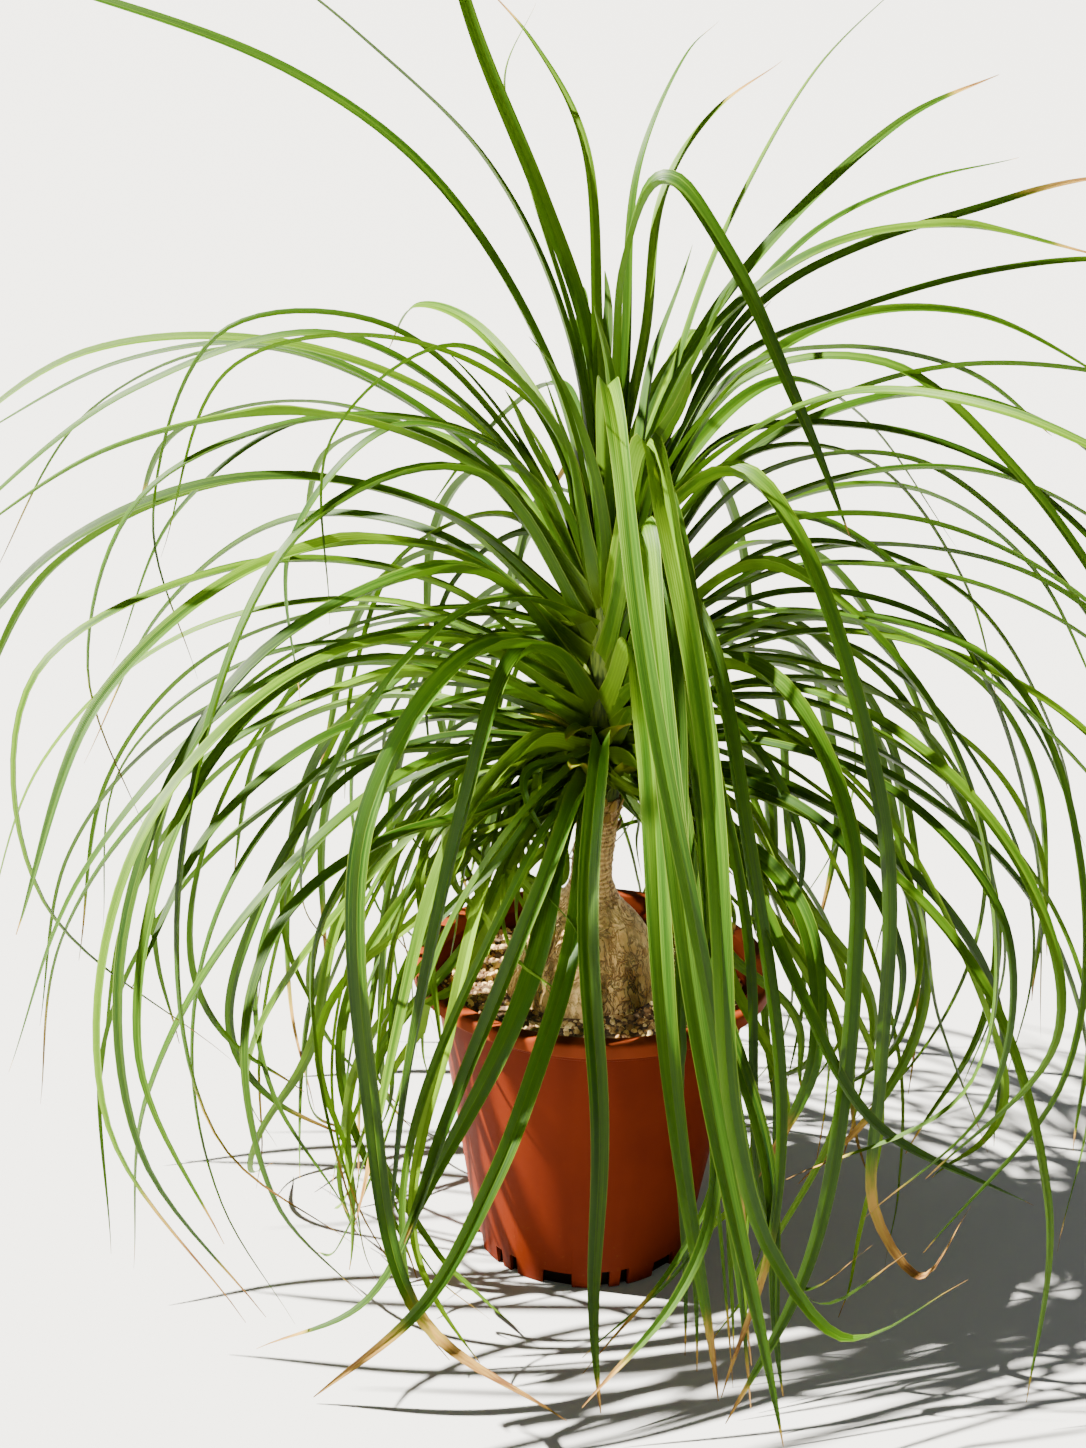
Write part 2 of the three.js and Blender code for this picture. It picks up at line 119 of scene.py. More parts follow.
# %% Socket and Nodes
class Socket:
    """A node's output that takes part in Python sums."""

    def __init__(self, nodes, output):
        self.nodes = nodes
        self.output = output

    def combine(self, operation, first, second):
        pair = [x for x in (first, second) if isinstance(x, Socket)]
        is_vector = any(x.output.type in ("VECTOR", "RGBA") for x in pair)
        kind = "ShaderNodeVectorMath" if is_vector else "ShaderNodeMath"
        return self.nodes.add(kind, {"operation": operation}, first, second)

    def __add__(self, other):
        return self.combine("ADD", self, other)

    def __sub__(self, other):
        return self.combine("SUBTRACT", self, other)

    def __rsub__(self, other):
        return self.combine("SUBTRACT", other, self)

    def __mul__(self, other):
        return self.combine("MULTIPLY", self, other)

    def __pow__(self, other):
        return self.combine("POWER", self, other)

    __radd__ = __add__
    __rmul__ = __mul__


class Nodes:
    """Adds nodes to one tree and gives back their outputs as Socket values."""

    def __init__(self, tree):
        self.tree = tree

    def add(self, kind, settings=None, *values, out=None, **named):
        """A node of a kind, its settings first, then its sockets in order or by name."""
        made = self.tree.nodes.new(kind)
        for name, value in (settings or {}).items():
            if name == "stops":
                self.set_stops(made.color_ramp, value)
            else:
                setattr(made, name, value)
        inputs = [s for s in made.inputs if s.enabled]
        for socket, value in zip(inputs, values):
            self.plug(socket, value)
        for name, value in named.items():
            label = name.replace("_", " ").lower()
            self.plug(next(s for s in inputs if s.name.lower() == label), value)
        outputs = [s for s in made.outputs if s.enabled and out in (None, s.name)]
        return Socket(self, outputs[0]) if outputs else made

    def plug(self, socket, value):
        """Links a Socket, or sets a plain value, widened to what the socket holds."""
        if isinstance(value, Socket):
            self.tree.links.new(value.output, socket)
            return
        if socket.type == "VECTOR" and isinstance(value, (int, float)):
            value = (value, value, value)
        if socket.type == "RGBA" and len(value) == 3:
            value = (*value, 1)
        socket.default_value = value

    def set_stops(self, ramp, stops):
        """Fills a colour ramp with (place, colour) stops."""
        while len(ramp.elements) < len(stops):
            ramp.elements.new(1)
        for element, (place, colour) in zip(ramp.elements, stops):
            element.position = place
            element.color = (*colour, 1)

    def maths(self, operation, *values):
        return self.add("ShaderNodeMath", {"operation": operation}, *values)

    def blend(self, factor, first, second):
        """One colour over another."""
        return self.add("ShaderNodeMix", {"data_type": "RGBA"}, factor, first, second)

    def ramp(self, factor, stops):
        """A colour picked from (place, colour) stops."""
        return self.add("ShaderNodeValToRGB", {"stops": stops}, factor, out="Color")

    def step(self, value, start, end, low=0, high=1):
        """A smooth step of a value from low at start to high at end."""
        smooth = {"interpolation_type": "SMOOTHSTEP"}
        return self.add("ShaderNodeMapRange", smooth, value, start, end, low, high)

    def noise(self, vector, scale, detail=3, roughness=0.5):
        return self.add(
            "ShaderNodeTexNoise", None, vector, scale=scale, detail=detail, roughness=roughness
        )

    def cracks(self, vector, scale):
        """Distance to the nearest edge between cells: 0 in a crack."""
        edges = {"feature": "DISTANCE_TO_EDGE"}
        return self.add("ShaderNodeTexVoronoi", edges, vector, scale=scale, out="Distance")

    def attribute(self, name, out="Fac"):
        settings = {"attribute_type": "GEOMETRY", "attribute_name": name}
        return self.add("ShaderNodeAttribute", settings, out=out)

    def parts(self, vector):
        """The x, y and z of a vector."""
        split = self.tree.nodes.new("ShaderNodeSeparateXYZ")
        self.plug(split.inputs[0], vector)
        return [Socket(self, each) for each in split.outputs]

    def vector(self, x, y, z):
        return self.add("ShaderNodeCombineXYZ", None, x, y, z)

    def bump(self, height, distance, strength=1):
        """A surface normal from a height between 0 and 1 and the relief that it stands for."""
        return self.add(
            "ShaderNodeBump", None, strength=strength, distance=distance, height=height
        )


def new_material(name):
    """An empty material and the Nodes that fill it."""
    material = bpy.data.materials.new(name)
    material.use_nodes = True
    material.node_tree.nodes.clear()
    return material, Nodes(material.node_tree)


def place_of(nodes):
    """Object coordinates: the place on the piece, in metres."""
    return nodes.add("ShaderNodeTexCoord", None, out="Object")


def set_surface(nodes, shader):
    nodes.add("ShaderNodeOutputMaterial", None, surface=shader)


def principled(nodes, **values):
    return nodes.add("ShaderNodeBsdfPrincipled", None, **values)


def opaque(material, nodes, **values):
    """Ends a material in one Principled shader."""
    set_surface(nodes, principled(nodes, **values))
    return material


# %% [markdown]
# ## Running a Geometry Nodes tree from a script
#
# A tree gets a Geometry input, its own named inputs, and a Geometry output. A modifier runs it, the
# result is copied out as a plain mesh, and the modifier goes. An input is set by its identifier,
# because two inputs may share a name but never an identifier.

# %% Trees
SOCKET_TYPES = {
    float: "NodeSocketFloat",
    int: "NodeSocketInt",
    bpy.types.Material: "NodeSocketMaterial",
}


def new_tree(name, **inputs):
    """A Geometry Nodes tree with named inputs: its Nodes, its geometry and its inputs."""
    tree = bpy.data.node_groups.new(name, "GeometryNodeTree")
    tree.interface.new_socket("Geometry", in_out="INPUT", socket_type="NodeSocketGeometry")
    tree.interface.new_socket("Geometry", in_out="OUTPUT", socket_type="NodeSocketGeometry")
    for label, kind in inputs.items():
        tree.interface.new_socket(label, in_out="INPUT", socket_type=SOCKET_TYPES[kind])
    nodes = Nodes(tree)
    entry = tree.nodes.new("NodeGroupInput")
    sockets = {s.name: Socket(nodes, s) for s in entry.outputs if s.name}
    return nodes, sockets


def end_tree(nodes, geometry, material):
    """Every tree ends in real meshes that carry their material."""
    real = nodes.add("GeometryNodeRealizeInstances", None, geometry)
    coloured = nodes.add("GeometryNodeSetMaterial", None, real, material=material)
    nodes.add("NodeGroupOutput", None, coloured)
    return nodes.tree


def stored(nodes, geometry, name, value, kind="FLOAT", domain="POINT"):
    """The geometry with a value kept on it under a name."""
    settings = {"data_type": kind, "domain": domain}
    return nodes.add(
        "GeometryNodeStoreNamedAttribute", settings, geometry, name=name, value=value
    )


def named(nodes, name, kind="FLOAT"):
    """A value that was kept on the geometry under a name."""
    return nodes.add("GeometryNodeInputNamedAttribute", {"data_type": kind}, name, out="Attribute")


def random_value(nodes, seed, kind="FLOAT", *ends):
    """A random value for each point or instance, between two ends."""
    return nodes.add("FunctionNodeRandomValue", {"data_type": kind}, *ends, seed=seed)


def run_tree(piece, tree, **inputs):
    """Runs a tree on a piece and keeps the result as the piece's plain mesh."""
    modifier = piece.modifiers.new("nodes", "NODES")
    modifier.node_group = tree
    for item in tree.interface.items_tree:
        if item.in_out == "INPUT" and item.name in inputs:
            modifier[item.identifier] = inputs[item.name]
    seen = piece.evaluated_get(bpy.context.evaluated_depsgraph_get())
    mesh = bpy.data.meshes.new_from_object(seen)
    piece.modifiers.remove(modifier)
    start = piece.data
    piece.data = mesh
    bpy.data.meshes.remove(start)
    return piece


# %% [markdown]
# ## Rings of points into a closed skin
#
# The pot, the soil and the caudex are all turned shapes, so one helper covers them: rings of
# points, joined ring to ring, with a single point closing each end.

# %% Skins
def new_piece(name, vertices, faces, edges=()):
    mesh = bpy.data.meshes.new(name)
    mesh.from_pydata([tuple(v) for v in vertices], list(edges), faces)
    piece = bpy.data.objects.new(name, mesh)
    bpy.context.scene.collection.objects.link(piece)
    return piece


def skin(name, rings, start, end):
    """A closed mesh through rings of points, with a point at each end."""
    sides = len(rings[0])
    vertices = [p for ring in rings for p in ring] + [start, end]
    turn = [(i, (i + 1) % sides) for i in range(sides)]
    faces = []
    for k in range(len(rings) - 1):
        low, high = k * sides, (k + 1) * sides
        faces += [(low + a, low + b, high + b, high + a) for a, b in turn]
    first, last = len(vertices) - 2, len(vertices) - 1
    top = (len(rings) - 1) * sides
    faces += [(b, a, first) for a, b in turn]
    faces += [(top + a, top + b, last) for a, b in turn]
    return new_piece(name, vertices, faces)


def turned(name, outline, sides):
    """An outline of (radius, height) points about +Z, from the axis round to the axis."""
    angles = [2 * pi * i / sides for i in range(sides)]
    rings = [[(r * cos(a), r * sin(a), z) for a in angles] for r, z in outline[1:-1]]
    return skin(name, rings, (0, 0, outline[0][1]), (0, 0, outline[-1][1]))


def smooth(piece, sharpest=180):
    """Rounded shading, with edges kept crisp where faces meet at more than an angle."""
    piece.data.shade_smooth()
    if sharpest < 180:
        piece.data.set_sharp_from_angle(angle=radians(sharpest))


def faces_out(piece):
    """Turns every face outwards on a closed piece and prints what it measured."""
    work = bmesh.new()
    work.from_mesh(piece.data)
    bmesh.ops.recalc_face_normals(work, faces=work.faces)
    open_edges = sum(1 for edge in work.edges if not edge.is_manifold)
    litres = work.calc_volume() * 1000
    work.to_mesh(piece.data)
    work.free()
    piece.data.update()
    triangles = sum(len(p.vertices) - 2 for p in piece.data.polygons)
    print(f"{piece.name}: {triangles} triangles, {litres:.3f} litres, {open_edges} open edges")


def finish_piece(piece, material, slot, *nodes):
    """Gives a piece its material and its place in the frame."""
    if material.name not in [m.name for m in piece.data.materials if m]:
        piece.data.materials.clear()
        piece.data.materials.append(material)
    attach(piece, "root")
    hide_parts(*nodes)


def mixed(a, b, t):
    return a + (b - a) * t


def make_random(seed):
    """A repeatable random source, 0 to 1."""
    state = seed
    while True:
        state = (state * 1664525 + 1013904223) % 4294967296
        yield state / 4294967296


# %% [markdown]
# ## The pot
#
# The pot is one injection moulding: a tapering wall 3 mm thick, an overhanging band at the rim with
# a flat lip, a small ledge inside, and a thick floor that stands on a ring foot. A shape with one
# axis is an outline turned about it, so the outline is written once, corner by corner, with the
# radius that the mould gives each corner. A corner in plastic is never sharp, and it is the thin
# highlight along a rounded one that makes a rim look real.

# %% Pot sizes
pot_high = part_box("pot")[1]
POT_HEIGHT = pot_high.z
RIM_RADIUS = pot_high.x
RIM_BAND, LIP_WIDTH = 9.5 * MM, 12 * MM
RIM_UNDERSIDE = POT_HEIGHT - RIM_BAND
LIP_INNER = RIM_RADIUS - LIP_WIDTH
WALL_TOP_RADIUS = 106 * MM
BASE_RADIUS = 74 * MM
WALL = 3 * MM
FOOT_RING = 5 * MM
LEDGE = POT_HEIGHT - 18 * MM
FLOOR_UNDERSIDE = 1.5 * MM
FLOOR_TOP = 11 * MM
POT_SIDES = 192


def wall_radius(height):
    return mixed(BASE_RADIUS, WALL_TOP_RADIUS, height / RIM_UNDERSIDE)


def inside_radius(height):
    return wall_radius(height) - WALL


def rounded(corners, steps=5):
    """An outline of (radius, height, rounding) corners with each rounding turned into an arc."""
    places = [Vector((r, z)) for r, z, _ in corners]
    outline = [places[0]]
    for before, corner, after, spec in zip(places, places[1:], places[2:], corners[1:-1]):
        cut = spec[2]
        if cut == 0:
            outline.append(corner)
            continue
        start = corner + (before - corner).normalized() * cut
        end = corner + (after - corner).normalized() * cut
        for i in range(steps + 1):
            t = i / steps
            outline.append(start.lerp(corner, t).lerp(corner.lerp(end, t), t))
    return [tuple(p) for p in outline + [places[-1]]]


pot_outline = rounded([
    (0, FLOOR_UNDERSIDE, 0),
    (BASE_RADIUS - FOOT_RING - 4 * MM, FLOOR_UNDERSIDE, 1.5 * MM),
    (BASE_RADIUS - FOOT_RING, 0, 0.6 * MM),
    (BASE_RADIUS, 0, 1 * MM),
    (wall_radius(RIM_UNDERSIDE - 5 * MM), RIM_UNDERSIDE - 5 * MM, 3 * MM),
    (WALL_TOP_RADIUS + 1.5 * MM, RIM_UNDERSIDE, 1 * MM),
    (RIM_RADIUS, RIM_UNDERSIDE, 1.5 * MM),
    (RIM_RADIUS, POT_HEIGHT, 3 * MM),
    (LIP_INNER, POT_HEIGHT, 2 * MM),
    (LIP_INNER - 1.5 * MM, LEDGE, 1 * MM),
    (inside_radius(LEDGE - WALL), LEDGE - WALL, 1 * MM),
    (inside_radius(FLOOR_TOP), FLOOR_TOP, 1 * MM),
    (0, FLOOR_TOP, 0),
])
pot = turned("pot_shell", pot_outline, POT_SIDES)
print("the pot's outline has", len(pot_outline), "points")


# %% [markdown]
# Six wide notches and six pairs of narrow slots are let into the foot for draining. Seen from
# outside they are dark, so they are shallow, the foot behind them is closed, and painted shade
# darkens their insides. What repeats round a circle is a job for Geometry Nodes: one box stands at
# each of six points, turned to face outwards, and a Mesh Boolean takes each ring of boxes out of
# the pot.

# %% Drain holes
DRAIN_START = radians(-102)
DRAIN_STEP = radians(60)
WIDE_NOTCH = (20 * MM, 12 * MM)  # width, height
NARROW_SLOT = (6 * MM, 14 * MM)
SLOTS_APART = 13 * MM
CUTTER_DEPTH = 8 * MM  # half of it lies outside the foot


def box_ring(nodes, width, height, first):
    """Boxes through the foot, one at each drain step from the first angle on."""
    count = round(2 * pi / DRAIN_STEP)
    angle = nodes.add("GeometryNodeInputIndex") * DRAIN_STEP + first
    x = nodes.maths("COSINE", angle) * BASE_RADIUS
    y = nodes.maths("SINE", angle) * BASE_RADIUS
    points = nodes.add("GeometryNodePoints", None, count, nodes.vector(x, y, 0))
    box = nodes.add("GeometryNodeMeshCube", None, (CUTTER_DEPTH, width, 2 * height), out="Mesh")
    facing = nodes.add("FunctionNodeEulerToRotation", None, nodes.vector(0, 0, angle))
    boxes = nodes.add(
        "GeometryNodeInstanceOnPoints", None, points, instance=box, rotation=facing
    )
    return nodes.add("GeometryNodeRealizeInstances", None, boxes)


def drain_tree():
    nodes, entry = new_tree("drain_holes", Material=bpy.types.Material)
    middle = DRAIN_START + DRAIN_STEP / 2
    aside = SLOTS_APART / 2 / BASE_RADIUS
    cutters = [
        box_ring(nodes, *WIDE_NOTCH, DRAIN_START),
        box_ring(nodes, *NARROW_SLOT, middle - aside),
        box_ring(nodes, *NARROW_SLOT, middle + aside),
    ]
    cut = entry["Geometry"]
    for cutter in cutters:
        settings = {"operation": "DIFFERENCE", "solver": "EXACT"}
        cut = nodes.add("GeometryNodeMeshBoolean", settings, cut, cutter, out="Mesh")
    return end_tree(nodes, cut, entry["Material"])


# %% [markdown]
# Terracotta-coloured polypropylene has a satin skin. Close to, it is never one colour: the pigment
# drifts a little, dust from potting dulls it in specks, most of all near the foot, the rim band is
# painted a shade paler as painted light, handling rubs its top paler still, and the mould leaves a
# faint upright seam on two sides. The seam is found by its angle about the axis, so it is the same
# line from foot to rim.

# %% Pot material
SEAM_ANGLE = radians(-150)
# The worn colour serves both the rubbed rim top and the painted light on the rim band.
CLAY, LIGHT_CLAY, WORN_AND_LIT_CLAY = (0.082, 0.0100, 0.0022), (0.120, 0.017, 0.0035), (0.20, 0.040, 0.010)
POTTING_DUST, SEAM_CLAY = (0.12, 0.045, 0.014), (0.06, 0.008, 0.003)
# Painted shade for the inside of the drain notches.
NOTCH_SHADE = (0.004, 0.002, 0.001)


def pot_material():
    material, nodes = new_material("terracotta_plastic")
    place = place_of(nodes)
    x, y, z = nodes.parts(place)
    drift = nodes.noise(place, 14, 4)
    colour = nodes.blend(nodes.step(drift, 0.35, 0.7, 0, 0.35), CLAY, LIGHT_CLAY)
    # The rim band is painted paler as painted light, and its top is rubbed paler still, in patches.
    top = nodes.step(z, POT_HEIGHT - 3 * MM, POT_HEIGHT - 0.5 * MM)
    worn = top * nodes.step(nodes.noise(place, 60, 5), 0.3, 0.7, 0.2, 0.7)
    # Painted light: the whole rim band is lighter, as if it caught more light than the wall.
    band = nodes.step(z, RIM_UNDERSIDE - 0.5 * MM, RIM_UNDERSIDE + 0.5 * MM) * 0.4
    colour = nodes.blend(nodes.maths("MAXIMUM", worn, band), colour, WORN_AND_LIT_CLAY)
    # Specks of potting dust, most of them low on the wall.
    specks = nodes.step(nodes.noise(place, 240, 5, 0.65), 0.60, 0.74)
    foot = 1 - nodes.step(z, 5 * MM, 60 * MM)
    colour = nodes.blend(specks * (foot * 0.5 + 0.12), colour, POTTING_DUST)
    hub = (x * x + y * y) ** 0.5
    angle = nodes.maths("ARCTAN2", y, x)
    off_seam = nodes.maths("ABSOLUTE", nodes.maths("SINE", angle - SEAM_ANGLE))
    seam = 1 - nodes.step(off_seam, 0.004, 0.009)
    colour = nodes.blend(seam * 0.35, colour, SEAM_CLAY)
    # The notches are painted dark inside: painted shade in the recess behind them.
    low = 1 - nodes.step(z, NARROW_SLOT[1] + 0.5 * MM, NARROW_SLOT[1] + 1.5 * MM)
    deep = low * (1 - nodes.step(hub, BASE_RADIUS - 2.5 * MM, BASE_RADIUS - 1.5 * MM))
    colour = nodes.blend(deep, colour, NOTCH_SHADE)
    grain = nodes.noise(place, 900, 2)
    waves = nodes.noise(place * (1, 1, 0.3), 45, 2)
    relief = grain * 0.12 + waves * 0.5 + seam
    return opaque(
        material,
        nodes,
        base_color=colour,
        roughness=nodes.step(drift, 0.3, 0.7, 0.46, 0.56) + specks * 0.2,
        specular_ior_level=0.02,
        normal=nodes.bump(relief, 0.25 * MM, 0.5),
    )


pot_look = pot_material()
run_tree(pot, drain_tree(), Material=pot_look)
smooth(pot, 32)
faces_out(pot)
finish_piece(pot, pot_look, "pot_plastic", "pot")


# %% [markdown]
# ## The caudex
#
# The caudex stores water. It swells below and narrows to a neck, so a row of radii by height
# draws it, joined by a smooth curve. Its bark is what makes it a living thing: as it swelled, the
# old skin split into plates, and the neck kept a ring for every whorl of leaves it lost. The large
# splits are real relief in the mesh, so that they catch the light at the outline too, and the fine
# ones are left to the material. Blender's noise_vector starts from the clock unless it is given a
# seed, so it gets one, and the splits are the same in every run.

# %% Caudex shape
CAUDEX_ROWS = (  # height, radius, how far its middle stands to the left, in millimetres
    (160, 34, 6), (166, 45, 6), (177, 51, 6), (192, 53, 6), (208, 50, 6), (224, 43, 5),
    (239, 33, 4), (250, 23, 4), (260, 16.5, 3), (272, 13.5, 3), (300, 13.5, 1), (325, 13.5, 0),
)
CAUDEX_FOOT, NECK_TOP = 160 * MM, 325 * MM
NECK_RADIUS = 13.5 * MM
NECK_RING = 0.0031  # metres from one leaf scar to the next
LOBE_SIDE = radians(215)
CAUDEX_RINGS, CAUDEX_SIDES = 230, 208
CRACK_SEED = 1795553616
CLEARANCE = 0.3 * MM


def smooth_through(x, known_x, known_y):
    """A smooth curve through known points, at x (a monotone cubic, so it never overshoots)."""
    slopes = np.diff(known_y) / np.diff(known_x)
    tangents = np.concatenate(([slopes[0]], (slopes[1:] + slopes[:-1]) / 2, [slopes[-1]]))
    turns = np.sign(slopes[1:]) != np.sign(slopes[:-1])
    tangents[1:-1][turns] = 0
    i = np.clip(np.searchsorted(known_x, x, side="right") - 1, 0, len(slopes) - 1)
    width = known_x[i + 1] - known_x[i]
    t = (x - known_x[i]) / width
    rise = (2 * t**3 - 3 * t**2 + 1) * known_y[i] + (3 * t**2 - 2 * t**3) * known_y[i + 1]
    bend = (t**3 - 2 * t**2 + t) * tangents[i] + (t**3 - t**2) * tangents[i + 1]
    return rise + bend * width


caudex_table = np.array(CAUDEX_ROWS, float).T * MM


def caudex_radius(height, angle):
    """The smooth caudex: its lobes and folds, without its bark."""
    radius = smooth_through(height, caudex_table[0], caudex_table[1])
    swollen = max(0, (radius - NECK_RADIUS) / (40 * MM))
    lobe = 0.05 * max(0, cos(angle - LOBE_SIDE))
    folds = 0.022 * sin(3 * angle + 1) + 0.012 * sin(7 * angle + 0.5)
    return radius * (1 + swollen * (lobe + folds)), min(1, swollen)


def caudex_middle(height):
    return -smooth_through(height, caudex_table[0], caudex_table[2])


def bark_relief(place, swollen):
    """How far the bark stands in or out at a place, in metres."""
    warped = place + 0.006 * noise.noise_vector(place * 55)
    plates = noise.voronoi(warped * Vector((1, 1, 0.75)) * 62)[0]
    split = min(1, (plates[1] - plates[0]) / 0.16)
    creases = noise.fractal(Vector((place.x, place.y, place.z * 0.35)) * 150, 0.8, 2.1, 3)
    swells = noise.noise(place * 28)
    cracked = min(1, max(0, 0.5 + (place.x - 0.3 * place.y) / (50 * MM)))
    bark = -0.6 * cracked * (1 - split) ** 2 + 0.6 * creases + 0.8 * swells
    rings = 0.18 * sin(place.z * 2 * pi / NECK_RING + 9 * noise.noise(place * 45))
    scars = 0.5 * noise.noise(Vector((place.x * 90, place.y * 90, place.z * 330)))
    return (bark * swollen + (rings + scars) * (1 - swollen)) * MM


def caudex_ring(height):
    ring = []
    for i in range(CAUDEX_SIDES):
        angle = 2 * pi * i / CAUDEX_SIDES
        radius, swollen = caudex_radius(height, angle)
        out = Vector((cos(angle), sin(angle), 0))
        middle = Vector((caudex_middle(height), 0, height))
        relief = bark_relief(middle + out * radius, swollen)
        ring.append(middle + out * (radius + relief))
    return ring


noise.seed_set(CRACK_SEED)
caudex_heights = np.linspace(CAUDEX_FOOT, NECK_TOP, CAUDEX_RINGS)
caudex_rings = [caudex_ring(h) for h in caudex_heights]
foot_middle = Vector((caudex_middle(CAUDEX_FOOT), 0, CAUDEX_FOOT))
caudex = skin("caudex_bark", caudex_rings, foot_middle, Vector((0, 0, NECK_TOP)))


# %% [markdown]
# The bark's colour follows its relief. Raised, weathered plates bleach to cream; the splits between
# them and the fine, mostly upright wrinkles are painted dark, partly as darker inner bark and
# partly as painted shade in the creases; and the neck is banded by its leaf scars. The splits are
# the edges of a cell pattern, bent by noise so that none runs straight, and show most on the right.
# A wrinkle is a line along which a stretched noise passes its middle value, at two sizes. The same
# masks drive the bump, so colour and relief agree.

# %% Caudex material
TAN_BARK, CREAM_BARK, WORN_BARK = (0.72, 0.40, 0.105), (0.95, 0.66, 0.23), (0.52, 0.26, 0.070)
SPLIT_BARK_AND_SHADE, SOILED_BARK = (0.19, 0.075, 0.016), (0.16, 0.10, 0.05)
NECK_SCAR, NECK_BARK = (0.58, 0.31, 0.085), (0.90, 0.60, 0.21)


def wrinkles(nodes, place, scale, width):
    """Thin, meandering, mostly upright lines: where a stretched noise passes its middle value."""
    wave = nodes.noise(place * (1, 1, 0.24), scale, 2, 0.5)
    return 1 - nodes.step(nodes.maths("ABSOLUTE", wave - 0.5), 0, width)


def bark_material():
    material, nodes = new_material("cracked_bark")
    place = place_of(nodes)
    x, y, z = nodes.parts(place)
    warp = nodes.add(
        "ShaderNodeTexNoise", None, place, scale=55, detail=3, roughness=0.55, out="Color"
    )
    bent = place + (warp - 0.5) * (16 * MM)
    plates = nodes.cracks(bent * (1, 1, 0.5), 80)
    plated = nodes.step(x * 0.9 - y * 0.3 + (nodes.noise(place, 25, 2) - 0.5) * 0.05, -0.008, 0.03)
    split = (1 - nodes.step(plates, 0.0, 0.035)) * plated
    coarse, fine = wrinkles(nodes, bent, 115, 0.04), wrinkles(nodes, bent, 240, 0.05)
    wrinkle = nodes.maths("MAXIMUM", coarse, fine)
    worked = nodes.step(nodes.noise(place, 34, 4, 0.6), 0.38, 0.6)
    neck = nodes.step(z, 0.242, 0.268)
    mottle = nodes.step(nodes.noise(place, 120, 5, 0.7), 0.3, 0.7)
    patches = nodes.step(nodes.noise(place, 18, 3), 0.5, 0.75, 0, 0.4)
    colour = nodes.blend(patches, nodes.blend(mottle, TAN_BARK, CREAM_BARK), WORN_BARK)
    rings = nodes.maths("SINE", z * (2 * pi / NECK_RING) + nodes.noise(place, 45, 3) * 14)
    band = rings * 0.5 + 0.5
    colour = nodes.blend(neck * 0.85, colour, nodes.blend(band, NECK_SCAR, NECK_BARK))
    # Splits and wrinkles are darkened: partly darker inner bark, partly painted shade in the
    # creases.
    depth = nodes.maths("MAXIMUM", split * 0.9, wrinkle * (worked * 0.5 + 0.35))
    colour = nodes.blend(depth * 0.85, colour, SPLIT_BARK_AND_SHADE)
    # Soil clings to the foot of the caudex in patches.
    low = 1 - nodes.step(z, 188 * MM, 199 * MM)
    clinging = low * nodes.step(nodes.noise(place, 90, 4), 0.4, 0.6)
    colour = nodes.blend(clinging * 0.6, colour, SOILED_BARK)
    relief = nodes.noise(place, 420, 4, 0.7) * 0.3 - depth + band * neck * 0.3
    return opaque(
        material,
        nodes,
        base_color=colour,
        roughness=nodes.step(depth, 0, 1, 0.66, 0.9),
        normal=nodes.bump(relief, 2.4 * MM, 1.0),
    )


bark_look = bark_material()
smooth(caudex)
faces_out(caudex)
finish_piece(caudex, bark_look, "caudex_bark", "caudex")


# %% [markdown]
# ## The soil
#
# The mix is fine dark bark and loam under a coarse dressing of pale grit. Its own surface only has
# to be rough and dark between the grains, so it is a turned skin with its top shaken by noise: from
# the bottom of the pot, up the wall, in to the caudex and down into the hole that it stands in.

# %% Soil shape
SOIL_TOP = 188 * MM
SOIL_MOUND = 4 * MM
SOIL_SIDES = 160
SOIL_ROWS = 30
soil_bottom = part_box("soil")[0].z


def soil_point(angle, inward):
    """A place on top of the soil, from the wall (0) to the caudex (1)."""
    edge = Vector((cos(angle), sin(angle), 0)) * (inside_radius(SOIL_TOP) - CLEARANCE)
    radius = caudex_radius(SOIL_TOP + SOIL_MOUND, angle)[0] + CLEARANCE
    hole = Vector((caudex_middle(SOIL_TOP) + radius * cos(angle), radius * sin(angle), 0))
    flat = edge.lerp(hole, inward)
    free = 1 - (2 * inward - 1) ** 8
    shaken = noise.fractal(flat * 90, 0.7, 2.2, 4) * 1.6 * MM * free
    heaps = (noise.noise(flat * 22) * 2 + noise.noise(flat * 60) * 3.4) * MM
    return flat + Vector((0, 0, SOIL_TOP + SOIL_MOUND * inward + shaken + heaps * free))


def hole_ring(height):
    ring = []
    for i in range(SOIL_SIDES):
        angle = 2 * pi * i / SOIL_SIDES
        radius = caudex_radius(height, angle)[0] + CLEARANCE
        middle = caudex_middle(height)
        ring.append(Vector((middle + radius * cos(angle), radius * sin(angle), height)))
    return ring


soil_angles = [2 * pi * i / SOIL_SIDES for i in range(SOIL_SIDES)]
low_edge = inside_radius(soil_bottom) - CLEARANCE
soil_rings = [[Vector((low_edge * cos(a), low_edge * sin(a), soil_bottom)) for a in soil_angles]]
soil_rings += [
    [soil_point(a, row / (SOIL_ROWS - 1)) for a in soil_angles] for row in range(SOIL_ROWS)
]
soil_rings += [hole_ring(h * MM) for h in (184, 177, 170, 166, 161)]
hole_bottom = Vector((foot_middle.x, 0, CAUDEX_FOOT - CLEARANCE))
soil = skin("soil_body", soil_rings, Vector((0, 0, soil_bottom)), hole_bottom)


# %% [markdown]
# A dark, crumbly mix: three brown tones mixed by noise at the size of the crumbs, a scatter of tiny
# pale flecks, and strong relief.

# %% Soil material
CRUMB_TONES = [
    (0.3, (0.022, 0.012, 0.006)),
    (0.52, (0.10, 0.052, 0.018)),
    (0.75, (0.28, 0.16, 0.06)),
]
DAMP_SOIL, PALE_FLECK = (0.035, 0.02, 0.012), (0.48, 0.38, 0.24)


